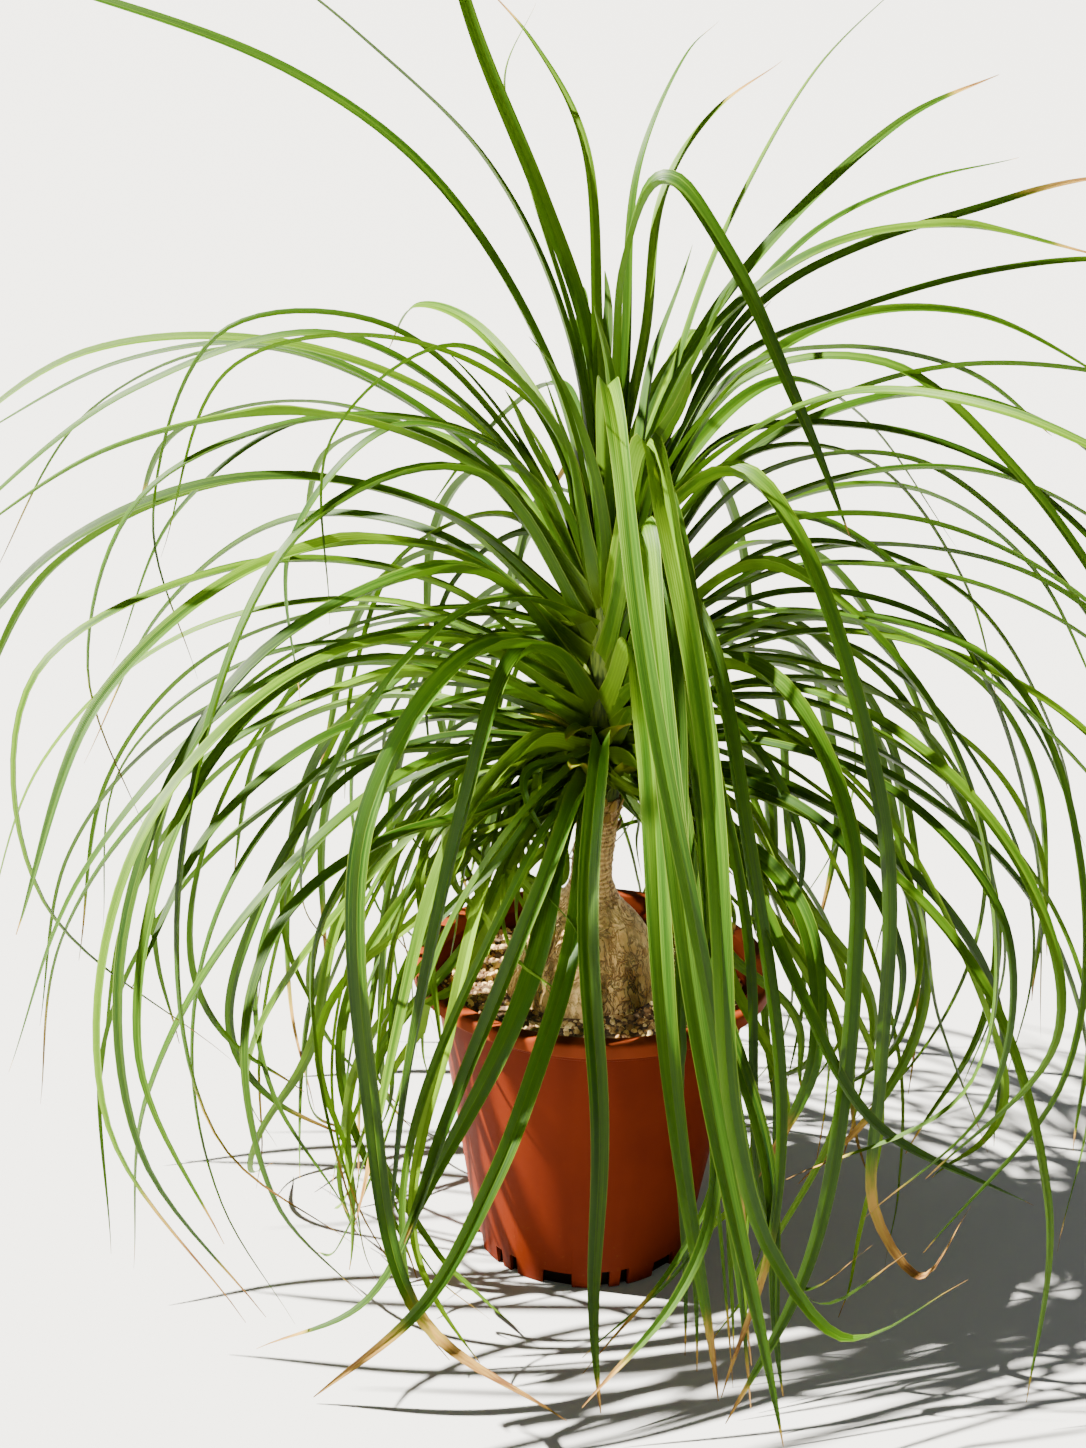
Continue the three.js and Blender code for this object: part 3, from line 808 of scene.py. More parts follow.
def soil_material():
    material, nodes = new_material("dark_crumb")
    place = place_of(nodes)
    crumbs = nodes.noise(place, 260, 5, 0.7)
    damp = nodes.noise(place, 40, 3)
    colour = nodes.ramp(crumbs, CRUMB_TONES)
    colour = nodes.blend(nodes.step(damp, 0.4, 0.65, 0, 0.5), colour, DAMP_SOIL)
    flecks = nodes.cracks(place, 330)
    pale = nodes.step(flecks, 0.36, 0.46)
    colour = nodes.blend(pale * 0.7, colour, PALE_FLECK)
    return opaque(
        material,
        nodes,
        base_color=colour,
        roughness=0.95,
        normal=nodes.bump(crumbs + pale * 0.4, 2.2 * MM),
    )


soil_look = soil_material()
smooth(soil)
faces_out(soil)
finish_piece(soil, soil_look, "potting_mix", "soil")


# %% [markdown]
# The dressing is a scatter of grains, which Geometry Nodes does well: points are thrown on the top
# of the soil, each gets one low pebble at its own size and turn, and noise then pulls every grain
# out of round, so that no two are alike. A grain has only 80 faces, because there are over two
# thousand. The same tree runs twice: pale pumice, and darker bark.

# %% Grain tree
def grain_tree():
    nodes, entry = new_tree(
        "grains",
        Density=float,
        Smallest=float,
        Largest=float,
        Flatness=float,
        Seed=int,
        Material=bpy.types.Material,
    )
    ground = entry["Geometry"]
    seed = entry["Seed"]
    points = nodes.add(
        "GeometryNodeDistributePointsOnFaces",
        {"distribute_method": "POISSON"},
        ground,
        distance_min=entry["Smallest"] * 0.8,
        density_max=entry["Density"],
        seed=seed,
        out="Points",
    )
    pebble = nodes.add("GeometryNodeMeshIcoSphere", None, 1.0, 2, out="Mesh")
    turn = random_value(nodes, seed, "FLOAT_VECTOR", (0, 0, 0), (6.28, 6.28, 6.28))
    draw = random_value(nodes, seed + 7)
    size = entry["Smallest"] + (entry["Largest"] - entry["Smallest"]) * draw * draw
    flattest = nodes.vector(entry["Flatness"], entry["Flatness"], entry["Flatness"])
    shape = random_value(nodes, seed + 3, "FLOAT_VECTOR", flattest, (1, 1, 1))
    grains = nodes.add(
        "GeometryNodeInstanceOnPoints",
        None,
        points,
        instance=pebble,
        rotation=nodes.add("FunctionNodeEulerToRotation", None, turn),
        scale=shape * size,
    )
    tinted = stored(nodes, grains, "tint", random_value(nodes, seed + 11), domain="INSTANCE")
    real = nodes.add("GeometryNodeRealizeInstances", None, tinted)
    place = nodes.add("GeometryNodeInputPosition")
    pull = nodes.add("ShaderNodeTexNoise", None, place, scale=420, detail=1, out="Color")
    lumpy = nodes.add("GeometryNodeSetPosition", None, real, offset=(pull - 0.5) * (1.6 * MM))
    rounded_off = nodes.add("GeometryNodeSetShadeSmooth", None, lumpy)
    return end_tree(nodes, rounded_off, entry["Material"])


# %% [markdown]
# Pumice is cream, chalky and a little stained by the mix it lies in. Each grain carries a random
# number, its tint, and a dark stain gathers where noise is high. The bark grains share the shader
# with other colours: light, dark and stain.

# %% Grain materials
PUMICE = ((0.82, 0.61, 0.24), (0.44, 0.27, 0.08), (0.08, 0.042, 0.012))
BARK_CHIPS = ((0.42, 0.23, 0.065), (0.12, 0.055, 0.017), (0.03, 0.014, 0.006))


def grain_material(name, light, dark, stain):
    material, nodes = new_material(name)
    place = place_of(nodes)
    tint = nodes.attribute("tint")
    colour = nodes.blend(tint, light, dark)
    dirt = nodes.step(nodes.noise(place, 380, 4, 0.7), 0.5, 0.68)
    colour = nodes.blend(dirt * 0.7, colour, stain)
    return opaque(
        material,
        nodes,
        base_color=colour,
        roughness=0.88,
        normal=nodes.bump(nodes.noise(place, 1500, 3, 0.7), 0.5 * MM),
    )


def soil_top_patch(name):
    """A copy of the soil's top alone, without its edges, for grains to lie on."""
    rows = soil_rings[1 : SOIL_ROWS + 1]
    vertices = [p for ring in rows for p in ring]
    faces = []
    for row in range(1, SOIL_ROWS - 2):
        for i in range(SOIL_SIDES):
            j = (i + 1) % SOIL_SIDES
            a, b = row * SOIL_SIDES, (row + 1) * SOIL_SIDES
            faces.append((a + i, a + j, b + j, b + i))
    return new_piece(name, vertices, faces)


def scatter_grains(name, material, density, smallest, largest, flatness, seed):
    grains = soil_top_patch(name)
    sizes = {"Smallest": smallest * MM, "Largest": largest * MM, "Flatness": flatness}
    run_tree(grains, grain_tree(), Density=density, Seed=seed, Material=material, **sizes)
    faces_out(grains)
    finish_piece(grains, material, "potting_mix", "soil")


pumice_look = grain_material("pale_pumice", *PUMICE)
chips_look = grain_material("bark_chips", *BARK_CHIPS)
# Density to the square metre, smallest and largest radius in millimetres, flatness and seed.
scatter_grains("pumice_grains", pumice_look, 42000.0, 1.1, 3.1, 0.6, 5)
scatter_grains("bark_grains", chips_look, 60000.0, 1.0, 3.4, 0.35, 23)


# %% [markdown]
# ## The leaves
#
# A leaf of this plant is a strap: it leaves the stem at a slope, bends over under its own weight
# and hangs, and now and then it folds sharply and drops. So a leaf is a route: the direction in
# which it sets out, how far it swings round by its tip, its root's height, its width, and the
# places that it passes, each as a reach from the stem's axis and a height. The broad ones in front
# also say how far they lean to the light, and one swings earlier than the rest. The frame's leaves
# follow the same routes, three of them in front a little less exactly, so the fine leaves below
# lie where the plain ones are.

# %% Leaf routes
CROWN_BASE, CROWN_TOP, CROWN_RADIUS = 325.3, 478, 14
ROOT_REACH = CROWN_RADIUS * 0.3
SWING_DELAY = 4
HALF_WIDTH, HALF_DEPTH, LEAF_WIDTH = 445, 350, 15


def leaf(azimuth, swing, root, width, *points, delay=SWING_DELAY, lean=0):
    """One leaf's route, in degrees and millimetres, and how far it turns its face to its left."""
    return {
        "azimuth": azimuth, "swing": swing, "root": root, "width": width,
        "points": points, "delay": delay, "lean": lean,
    }


OUTLINE_LEAVES = [
    # Rising leaves, from the left to the right.
    leaf(170, 0, 455, 15, (40, 600), (108, 700), (208, 765), (350, 813), (445, 825)),
    leaf(150, 0, 465, 11, (33, 620), (98, 718), (197, 790), (300, 845)),
    leaf(142, 0, 460, 17, (22, 600), (68, 700), (128, 825), (160, 915)),
    leaf(130, 0, 462, 10, (40, 600), (90, 700), (118, 765), (88, 810)),
    leaf(115, 0, 468, 10, (20, 620), (60, 720), (148, 785), (230, 818)),
    leaf(60, 0, 466, 11, (15, 620), (25, 720), (75, 785), (110, 802)),
    leaf(45, 0, 464, 12, (20, 620), (36, 700), (80, 752), (135, 780)),
    leaf(30, 0, 452, 12, (42, 590), (84, 700), (130, 775), (200, 835)),
    leaf(25, 0, 448, 14, (50, 600), (110, 690), (183, 745), (255, 775)),
    leaf(30, 0, 444, 10, (60, 605), (130, 672), (220, 708), (295, 722)),
    leaf(20, 0, 440, 11, (75, 615), (160, 675), (260, 705), (350, 718)),
    leaf(5, 0, 452, 17, (45, 610), (110, 670), (200, 690), (300, 675)),
    leaf(18, 0, 440, 11, (72, 595), (155, 635), (240, 660), (330, 665), (452, 642)),
    leaf(30, 0, 432, 12, (80, 590), (165, 607), (260, 587), (348, 535)),
    # One that arches over the top with a broad crest.
    leaf(340, 0, 462, 19, (2, 600), (4, 668), (24, 713), (72, 670), (115, 598), (152, 518)),
    # High arches on the left.
    leaf(170, 0, 430, 13, (85, 545), (200, 600), (320, 585), (445, 520)),
    leaf(185, 0, 434, 13, (75, 563), (170, 622), (290, 585), (420, 480)),
    leaf(165, 0, 420, 11, (105, 555), (235, 597), (355, 548), (440, 420)),
    leaf(190, 0, 438, 12, (60, 555), (140, 628), (235, 624), (278, 515), (255, 410)),
    leaf(195, 0, 444, 13, (40, 570), (130, 622), (230, 607), (275, 495)),
    leaf(215, 0, 440, 12, (40, 560), (118, 624), (192, 580), (195, 470)),
    leaf(205, 0, 430, 14, (55, 540), (142, 577), (203, 515), (200, 410)),
    leaf(195, 0, 424, 12, (65, 550), (175, 577), (283, 535), (320, 430), (288, 312)),
    leaf(180, 0, 416, 11, (75, 535), (177, 565), (268, 503), (315, 400)),
    leaf(205, 15, 386, 13, (110, 475), (240, 500), (357, 450), (366, 325), (275, 218)),
    leaf(190, 0, 372, 10, (110, 425), (220, 420), (303, 353), (320, 240)),
    leaf(150, 0, 408, 14, (50, 490), (110, 455), (135, 375), (130, 300)),
    leaf(160, 0, 412, 14, (65, 500), (142, 468), (175, 383), (185, 290)),
    # Long leaves that hang round the lower left.
    leaf(217, 20, 384, 16, (102, 490), (242, 458), (338, 320), (357, 205), (325, 108)),
    leaf(216, 26, 416, 14, (102, 550), (215, 525), (303, 350), (308, 195), (272, 135)),
    leaf(222, 20, 374, 14, (115, 450), (240, 455), (345, 385), (394, 250), (378, 148)),
    leaf(217, 18, 366, 13, (105, 430), (215, 440), (307, 370), (352, 262), (345, 162)),
    leaf(212, 10, 352, 13, (95, 395), (187, 402), (272, 362), (345, 290)),
    leaf(229, 40, 370, 19, (55, 435), (138, 445), (218, 370), (232, 200), (250, 86), (270, 45)),
    leaf(232, 4, 366, 18, (48, 430), (83, 437), (139, 350), (177, 213), (210, 98)),
    leaf(228, 0, 352, 17, (60, 373), (120, 332), (175, 210), (210, 95)),
    leaf(221, 20, 346, 16, (100, 336), (170, 332), (240, 300), (279, 238), (283, 150), (262, 94)),
    leaf(219, 16, 360, 14, (80, 366), (141, 360), (213, 295), (229, 205), (227, 93)),
    # Leaves that droop in front of the pot.
    leaf(250, -8, 340, 19, (48, 330), (100, 268), (150, 218), (226, 112)),
    leaf(260, -20, 334, 17, (40, 318), (91, 271), (150, 226), (206, 160), (255, 100), (304, 48)),
    leaf(270, 4, 345, 19, (30, 370), (60, 364), (100, 310), (150, 207), (190, 88), (222, 14)),
    leaf(249, -22, 346, 16, (47, 337), (99, 290), (150, 228), (189, 174), (243, 78), (285, 39)),
    # Broad leaves that fold over and hang in front, tallest crest first.
    leaf(
        256, 42, 428, 16, (30, 535), (58, 603), (88, 592), (145, 490), (190, 322), (215, 100),
        delay=1.4, lean=24,
    ),
    leaf(
        289, 26, 424, 20, (44, 520), (69, 570), (106, 530), (200, 320), (230, 205), (250, 130),
        (280, 82), (318, 122), lean=40,
    ),
    leaf(
        288, 8, 394, 22, (38, 470), (62, 518), (95, 480), (155, 355), (205, 210), (280, 20),
        lean=36,
    ),
    leaf(
        287, 6, 366, 21, (30, 410), (52, 440), (85, 405), (140, 295), (190, 130), (222, 14),
        lean=36,
    ),
    leaf(309, -18, 408, 17, (65, 474), (94, 457), (130, 400), (174, 285), (221, 119), (242, 33)),
    leaf(297, -26, 372, 14, (55, 415), (114, 365), (164, 257), (199, 142), (216, 90), (235, 28)),
    leaf(302, -2, 350, 16, (43, 358), (84, 327), (138, 271), (187, 200), (249, 28)),
    leaf(
        321, -30, 372, 21, (71, 429), (130, 430), (191, 353), (211, 279), (225, 198), (236, 110),
        (250, 20),
    ),
    leaf(
        324, 2, 432, 19, (45, 520), (92, 554), (137, 523), (201, 363), (217, 200), (225, 105),
        (258, 72), (284, 130),
    ),
    # Arches and hanging leaves on the right.
    leaf(350, 0, 436, 14, (75, 597), (162, 617), (245, 560), (322, 462), (375, 360)),
    leaf(352, 0, 428, 12, (65, 560), (150, 575), (240, 550), (330, 475), (405, 380)),
    leaf(10, 0, 422, 12, (90, 535), (187, 547), (272, 495), (350, 400)),
    leaf(15, 0, 418, 12, (85, 545), (170, 540), (237, 465), (275, 370)),
    leaf(335, -28, 404, 17, (105, 495), (202, 438), (262, 335), (280, 220), (203, 145)),
    leaf(350, 0, 410, 15, (110, 520), (217, 453), (275, 330), (295, 190)),
    leaf(0, 0, 404, 12, (110, 495), (220, 470), (290, 375), (320, 260)),
    leaf(5, 0, 396, 12, (105, 460), (205, 450), (275, 380), (325, 290)),
    leaf(345, -25, 388, 12, (122, 460), (243, 440), (305, 330), (320, 210), (270, 105)),
    leaf(335, -18, 368, 14, (110, 420), (205, 405), (285, 340), (320, 255), (275, 165)),
    leaf(330, -18, 358, 13, (110, 385), (205, 370), (280, 310), (295, 215), (250, 135)),
    leaf(345, 0, 346, 13, (115, 345), (200, 300), (230, 205), (270, 115)),
    leaf(330, 0, 342, 15, (95, 355), (172, 335), (217, 275), (212, 198)),
    leaf(316, -12, 336, 17, (97, 335), (170, 297), (205, 220), (190, 143)),
    leaf(308, 26, 338, 17, (115, 335), (192, 270), (240, 185), (310, 118)),
]


# %% [markdown]
# The other leaves follow the plant's own rule. A palm-like crown sets each new leaf at the golden
# angle from the last one, so that no two lie over each other; the oldest leaves are the lowest, and
# they set out flatter and hang further. The random draws come in a fixed order from a fixed seed.
# None of these leaves stands in the open front, where the stem base and the pot show.

# %% Leaves by rule
FRONT_LEAVES = [  # the broad leaves that hang in front
    each for each in OUTLINE_LEAVES if 270 < each["azimuth"] < 303 and each["root"] > 348
]
FILL_LEAVES = 75
GOLDEN_ANGLE = 137.508
OPEN_FRONT = (228, 322)
LOWEST_TIP = 22
SEED = 20261


def bent_route(root, length, start, end, steps=40, legs=4, haste=0.8):
    """Points of a leaf whose slope turns steadily from start to end."""
    reach, height, points = CROWN_RADIUS, root, []
    for i in range(1, steps + 1):
        slope = radians(mixed(start, end, ((i - 0.5) / steps) ** haste))
        reach += length / steps * cos(slope)
        height += length / steps * sin(slope)
        if height < LOWEST_TIP or i % (steps // legs) == 0:
            points.append((reach, height))
        if height < LOWEST_TIP:
            break
    return points


def held_within(azimuth, points, share=1):
    """Draws a route in where it would leave a share of the plant's oval outline from above."""
    turn = radians(azimuth)
    limit = share / hypot(cos(turn) / HALF_WIDTH, sin(turn) / HALF_DEPTH)
    shrink = min(1, (limit - LEAF_WIDTH) / max(reach for reach, _ in points))
    return [(reach * shrink, height) for reach, height in points]


def fill_leaves():
    draw = make_random(SEED)

    def scatter(spread):
        return spread * (next(draw) - 0.5)

    leaves = []
    for k in range(FILL_LEAVES):
        age = 1 - k / (FILL_LEAVES - 1)
        grown = min(1, age * 1.5)
        azimuth = (k * GOLDEN_ANGLE + scatter(14)) % 360
        length = mixed(430, 540, next(draw)) + 90 * sin(pi * age)
        start = mixed(84, 18, age) + scatter(10)
        end = mixed(-35, -98, grown) + scatter(16)
        swing = scatter(24)
        width = mixed(11, 16, next(draw))
        root = mixed(CROWN_TOP - 28, CROWN_BASE + 18, age)
        if OPEN_FRONT[0] < azimuth < OPEN_FRONT[1]:
            continue
        points = held_within(azimuth, bent_route(root, length, start, end))
        leaves.append(leaf(azimuth, swing, root, width, *points))
    return leaves


# %% [markdown]
# The frame stops at the leaves that give the crown its form. A real crown has more: young ones that
# stand close together in its heart, long narrow ones that hang in wide bows and hook at the end, a
# skirt of old ones that drop close to the pot, and a tangle of thin ones at the front left. All
# follow the same rule with other ranges, and stop short of the pot and of the floor. Thinner
# companions hang beside the broad leaves in front, and short clasping bases hide the stem.

# %% More leaves by rule
ABOVE_POT, BEYOND_POT = 225, 145  # millimetres: no route point is both lower and nearer
TANGLE_SIDE = (190, 236)


def ruled_leaves(
    count, seed, first, length, start, end, root, width, haste, swing, closed=OPEN_FRONT, share=1
):
    """Leaves at the golden angle, each value drawn between two ends of a range."""
    draw = make_random(SEED + seed)

    def between(span):
        return mixed(*span, next(draw))

    leaves = []
    for k in range(count):
        azimuth = (first + k * GOLDEN_ANGLE + between((-9, 9))) % 360
        values = [between(span) for span in (root, length, start, end, haste)]
        turn, breadth = between(swing), between(width)
        if closed[0] < azimuth < closed[1]:
            continue
        points = bent_route(*values[:4], haste=values[4], legs=8)
        clear = [p for p in points if p[1] > ABOVE_POT or p[0] > BEYOND_POT]
        leaves.append(leaf(azimuth, turn, values[0], breadth, *held_within(azimuth, clear, share)))
    return leaves


def bow_leaves():
    return ruled_leaves(
        44, 1, 20, length=(430, 620), start=(56, 12), end=(-105, -170),
        root=(440, 345), width=(8, 12), haste=(0.6, 0.95), swing=(-34, 34), share=0.72,
    )


def skirt_leaves():
    return ruled_leaves(
        104, 2, 75, length=(380, 540), start=(38, -8), end=(-95, -160),
        root=(372, 334), width=(6, 11), haste=(0.36, 0.6), swing=(-44, 44), closed=(240, 300),
        share=0.56,
    )


def heart_leaves():
    """Young leaves that still stand close together in the middle of the crown."""
    return ruled_leaves(
        18, 12, 60, length=(130, 230), start=(90, 78), end=(76, 36),
        root=(468, 440), width=(12, 16), haste=(0.8, 1.2), swing=(-10, 10), closed=(0, 0),
    )


def tangle_leaves():
    """Thin old leaves that hang in one tangle at the front left and curl in at their ends."""
    routes = ruled_leaves(
        190, 4, 15, length=(420, 540), start=(24, -18), end=(-94, -118),
        root=(372, 334), width=(8, 12), haste=(0.28, 0.4), swing=(-24, 50), share=0.54,
    )
    return [each for each in routes if TANGLE_SIDE[0] < each["azimuth"] < TANGLE_SIDE[1]]


def companion(route, aside, closer, lower):
    """A thinner leaf behind a given one, a little to its right."""
    azimuth, swing = route["azimuth"] + aside, route["swing"] - aside
    points = [(reach * closer, height * lower) for reach, height in route["points"]]
    return leaf(azimuth, swing, route["root"] - 6, route["width"] * 0.5, *points)


def base_leaves():
    """Short clasping bases, left where leaves were cut or fell, which hide the stem."""
    return ruled_leaves(
        26, 3, 255, length=(30, 60), start=(74, 48), end=(50, -20),
        root=(326, 380), width=(12, 16), haste=(0.7, 1.0), swing=(-6, 6), closed=(0, 0),
    )


# %% [markdown]
# A curve through the route's points gives the midrib. The centripetal kind of Catmull-Rom curve
# passes every point without loops or overshoot. Its samples are then spread by how much the leaf
# bends as well as by how far it runs, so that a sharp fold gets many and a straight stretch few.

# %% Midribs
SAMPLES = 48
BEND_WEIGHT = 30  # millimetres of extra sampling for each radian of bend


def route_points(route):
    """The route's own points in space, in millimetres."""
    places = [(ROOT_REACH, route["root"]), *route["points"]]
    last = len(places) - 1
    shares = [(i / last) ** route["delay"] for i in range(last + 1)]
    turns = [radians(route["azimuth"] + route["swing"] * share) for share in shares]
    return np.array([(r * cos(t), r * sin(t), h) for (r, h), t in zip(places, turns)])


def centripetal(points, per_leg=40):
    """Many points of the centripetal Catmull-Rom curve through a few."""
    ends = (2 * points[0] - points[1], 2 * points[-1] - points[-2])
    padded = np.vstack((ends[0], points, ends[1]))
    curve = []
    for p0, p1, p2, p3 in zip(padded, padded[1:], padded[2:], padded[3:]):
        d0, d1, d2 = (sqrt(np.linalg.norm(b - a)) for a, b in ((p0, p1), (p1, p2), (p2, p3)))
        m1 = ((p1 - p0) / d0 - (p2 - p0) / (d0 + d1) + (p2 - p1) / d1) * d1
        m2 = ((p2 - p1) / d1 - (p3 - p1) / (d1 + d2) + (p3 - p2) / d2) * d1
        t = np.linspace(0, 1, per_leg, endpoint=False)[:, None]
        curve.append(
            (2 * t**3 - 3 * t**2 + 1) * p1 + (t**3 - 2 * t**2 + t) * m1
            + (3 * t**2 - 2 * t**3) * p2 + (t**3 - t**2) * m2
        )
    return np.vstack((*curve, points[-1]))


def unit(vectors):
    return vectors / np.linalg.norm(vectors, axis=1)[:, None]


def midrib(route, samples):
    """Samples along a leaf's midrib, and how far along the leaf each is, from 0 to 1."""
    curve = centripetal(route_points(route))
    legs = np.diff(curve, axis=0)
    lengths = np.linalg.norm(legs, axis=1)
    ahead = unit(legs)
    bends = np.arccos(np.clip((ahead[1:] * ahead[:-1]).sum(1), -1, 1))
    effort = lengths + BEND_WEIGHT * np.append(bends, 0)
    marks = np.append(0, np.cumsum(effort)) / effort.sum()
    run = np.append(0, np.cumsum(lengths)) / lengths.sum()
    wanted = np.linspace(0, 1, samples + 1)
    points = np.stack([np.interp(wanted, marks, curve[:, axis]) for axis in range(3)], 1)
    return points, np.clip(np.interp(wanted, marks, run), 0, 1), lengths.sum()


# %% [markdown]
# A strap has more shape than a midrib. It clasps the stem with a wide, gutter-shaped base, narrows
# slowly, and tapers off at the end. It is folded along its midrib, tightly near the stem and less
# as it hangs, so that one half often shows its face and the other its edge. It also rolls about its
# own line, wanders from side to side, and dries from the tip back. A broad one creases at its
# crest, where it is wider and more tightly folded, and may lean to the light below it; a painted
# highlight makes its crest paler, and painted shade makes it deeper further along. A leaf that
# would cut the pot's rim is drawn out over it. All of this is worked out at each sample and stored
# with it, for the node tree to read.

# %% Straps
BASE_FLARE = 0.7  # extra width where the leaf clasps the stem
FLARE_REACH = 40  # millimetres over which it fades
CREASED_WIDTH = 15.5  # straps this wide crease at their crest, and their edges stand up there
CREASE_REACH, CREASE_FOLD, CREASE_WIDENING = 0.04, 16, 0.25  # share of length, degrees, share
HIGHLIGHT_REACH, CREST_HIGHLIGHT, SHADE_ALONG = 0.14, 0.4, 0.15  # a painted highlight makes them pale at the crest, and painted shade deeper further along
FOLD, STEM_FOLD, FOLD_SPREAD, UNFOLDING = 25, 30, 16, 0.45  # degrees, and the share lost by the tip
LEAN_ONSET = 12  # how fast a leaf starts to lean after its crest
THINNEST_TIP = 0.3  # half-width at the tip, in millimetres
BOX_MARGIN = 3.0  # millimetres kept inside the frame's box
RIM_CLEARANCE = 7  # millimetres kept between a leaf's middle and the pot's rim
RIM_APPROACH = 32  # millimetres above the rim where a leaf starts to make room for it
SLIMMING = 0.42  # how much narrower a strap gets, evenly, by its tip
box_low, box_high = (np.array(corner) / MM for corner in cad_box)


def kept_inside(points):
    """Draws a leaf in towards the stem where it would leave the frame's box."""
    high = (box_high - BOX_MARGIN) / np.maximum(points.max(0), 1)
    low = (box_low + BOX_MARGIN)[:2] / np.minimum(points.min(0)[:2], -1)
    points = points * np.minimum(1, np.append(np.minimum(high[:2], low), high[2]))
    points[:, 2] = np.maximum(points[:, 2], 4)
    return points


def laid_over_rim(points):
    """Draws a leaf out over the pot's rim where it would pass through it."""
    reach = np.hypot(points[:, 0], points[:, 1])
    low = np.clip((POT_HEIGHT / MM + RIM_APPROACH - points[:, 2]) / RIM_APPROACH, 0, 1)
    least = (RIM_RADIUS / MM + RIM_CLEARANCE) * low
    points[:, :2] *= (np.maximum(reach, least) / np.maximum(reach, 1))[:, None]
    return points


def rolled(side, up, angle):
    """Both directions across a strap, turned about its line."""
    turn_cos, turn_sin = np.cos(angle)[:, None], np.sin(angle)[:, None]
    return side * turn_cos + up * turn_sin, up * turn_cos - side * turn_sin


def strap(route, number, draw, samples=SAMPLES, dryness=None, roll=50, wander=6, tones=(0, 1)):
    """Everything the node tree needs along one leaf, in metres."""
    points, along, length = midrib(route, samples)
    ahead = unit(np.gradient(points, axis=0))
    turn = np.radians(route["azimuth"] + route["swing"] * along ** route["delay"])
    side = np.stack((-np.sin(turn), np.cos(turn), np.zeros_like(turn)), 1)
    side = unit(side - ahead * (side * ahead).sum(1)[:, None])
    up = np.cross(ahead, side)
    angle = radians(roll) * (2 * next(draw) - 1) * np.clip((along - 0.12) / 0.5, 0, 1.4)
    crest = along[np.argmax(points[:, 2])]
    onset, fading = np.clip((along - crest) * LEAN_ONSET, 0, 1), np.clip(2 - 3 * along, 0, 1)
    angle += radians(route["lean"]) * onset * fading
    side, up = rolled(side, up, angle)
    phase, waves = 2 * pi * next(draw), 1 + 2.5 * next(draw)
    free = along * (1 - along) * 4
    points = points + side * (wander * free * np.sin(waves * pi * along + phase))[:, None]
    points = kept_inside(laid_over_rim(points))
    flare = BASE_FLARE * np.exp(-((along * length / FLARE_REACH) ** 2))
    taper = (1 - SLIMMING * along) * (1 - along**6) ** 0.8
    half = (route["width"] + 2) * 0.44 * (1 + flare) * taper
    fold = np.radians(FOLD + STEM_FOLD * np.exp(-7 * along) + FOLD_SPREAD * next(draw))
    fold *= 1 - UNFOLDING * along
    tone, dried = mixed(*tones, next(draw)), next(draw)
    shade = tone * np.ones(samples + 1)
    if route["width"] >= CREASED_WIDTH:
        crease = np.exp(-(((along - crest) / CREASE_REACH) ** 2))
        fold += radians(CREASE_FOLD) * crease
        half *= 1 + CREASE_WIDENING * crease
        # Painted highlight at the crest and painted shade further along the leaf.
        shade += CREST_HIGHLIGHT * np.exp(-(((along - crest) / HIGHLIGHT_REACH) ** 2)) - SHADE_ALONG * along
    dry_reach = 0.02 + 0.2 * dried**3
    dry = np.clip((along - 1 + dry_reach) / (0.6 * dry_reach), 0, 1)
    if dryness is not None:
        dry = dryness[0] + (dryness[1] - dryness[0]) * along
    same = np.ones(samples + 1)
    return {
        "points": points * MM,
        "side": side,
        "up": up,
        "half": np.maximum(half, THINNEST_TIP) * MM,
        "fold": fold,
        "along": along,
        "length": same * length * MM,
        "tone": shade,
        "leaf": same * number,
        "dry": dry,
    }


def strap_lines(name, straps):
    """One mesh of edges, a line for each strap, that carries the straps' values on its points."""
    edges, start = [], 0
    for each in straps:
        count = len(each["points"])
        edges += [(start + i, start + i + 1) for i in range(count - 1)]
        start += count
    lines = new_piece(name, np.vstack([s["points"] for s in straps]), [], edges)
    for key in [key for key in straps[0] if key != "points"]:
        values = np.concatenate([s[key] for s in straps]).astype(np.float32)
        is_vector = values.ndim == 2
        kind = "FLOAT_VECTOR" if is_vector else "FLOAT"
        attribute = lines.data.attributes.new(key, kind, "POINT")
        attribute.data.foreach_set("vector" if is_vector else "value", values.ravel())
    return lines


# %% [markdown]
# The tree sweeps a section along every line. The lines become curves that face the way the side
# vector says, a flattened ring is the section, and Curve to Mesh scales it by the half-width. The
# ring remembers how far across the leaf each of its points is, so after the sweep both halves can
# be swung up by the fold angle: in by its cosine and up by its sine. The same numbers become a UV
# map: U runs across the leaf and V along it. Veins and margins are then painted by U, the base
# by V.

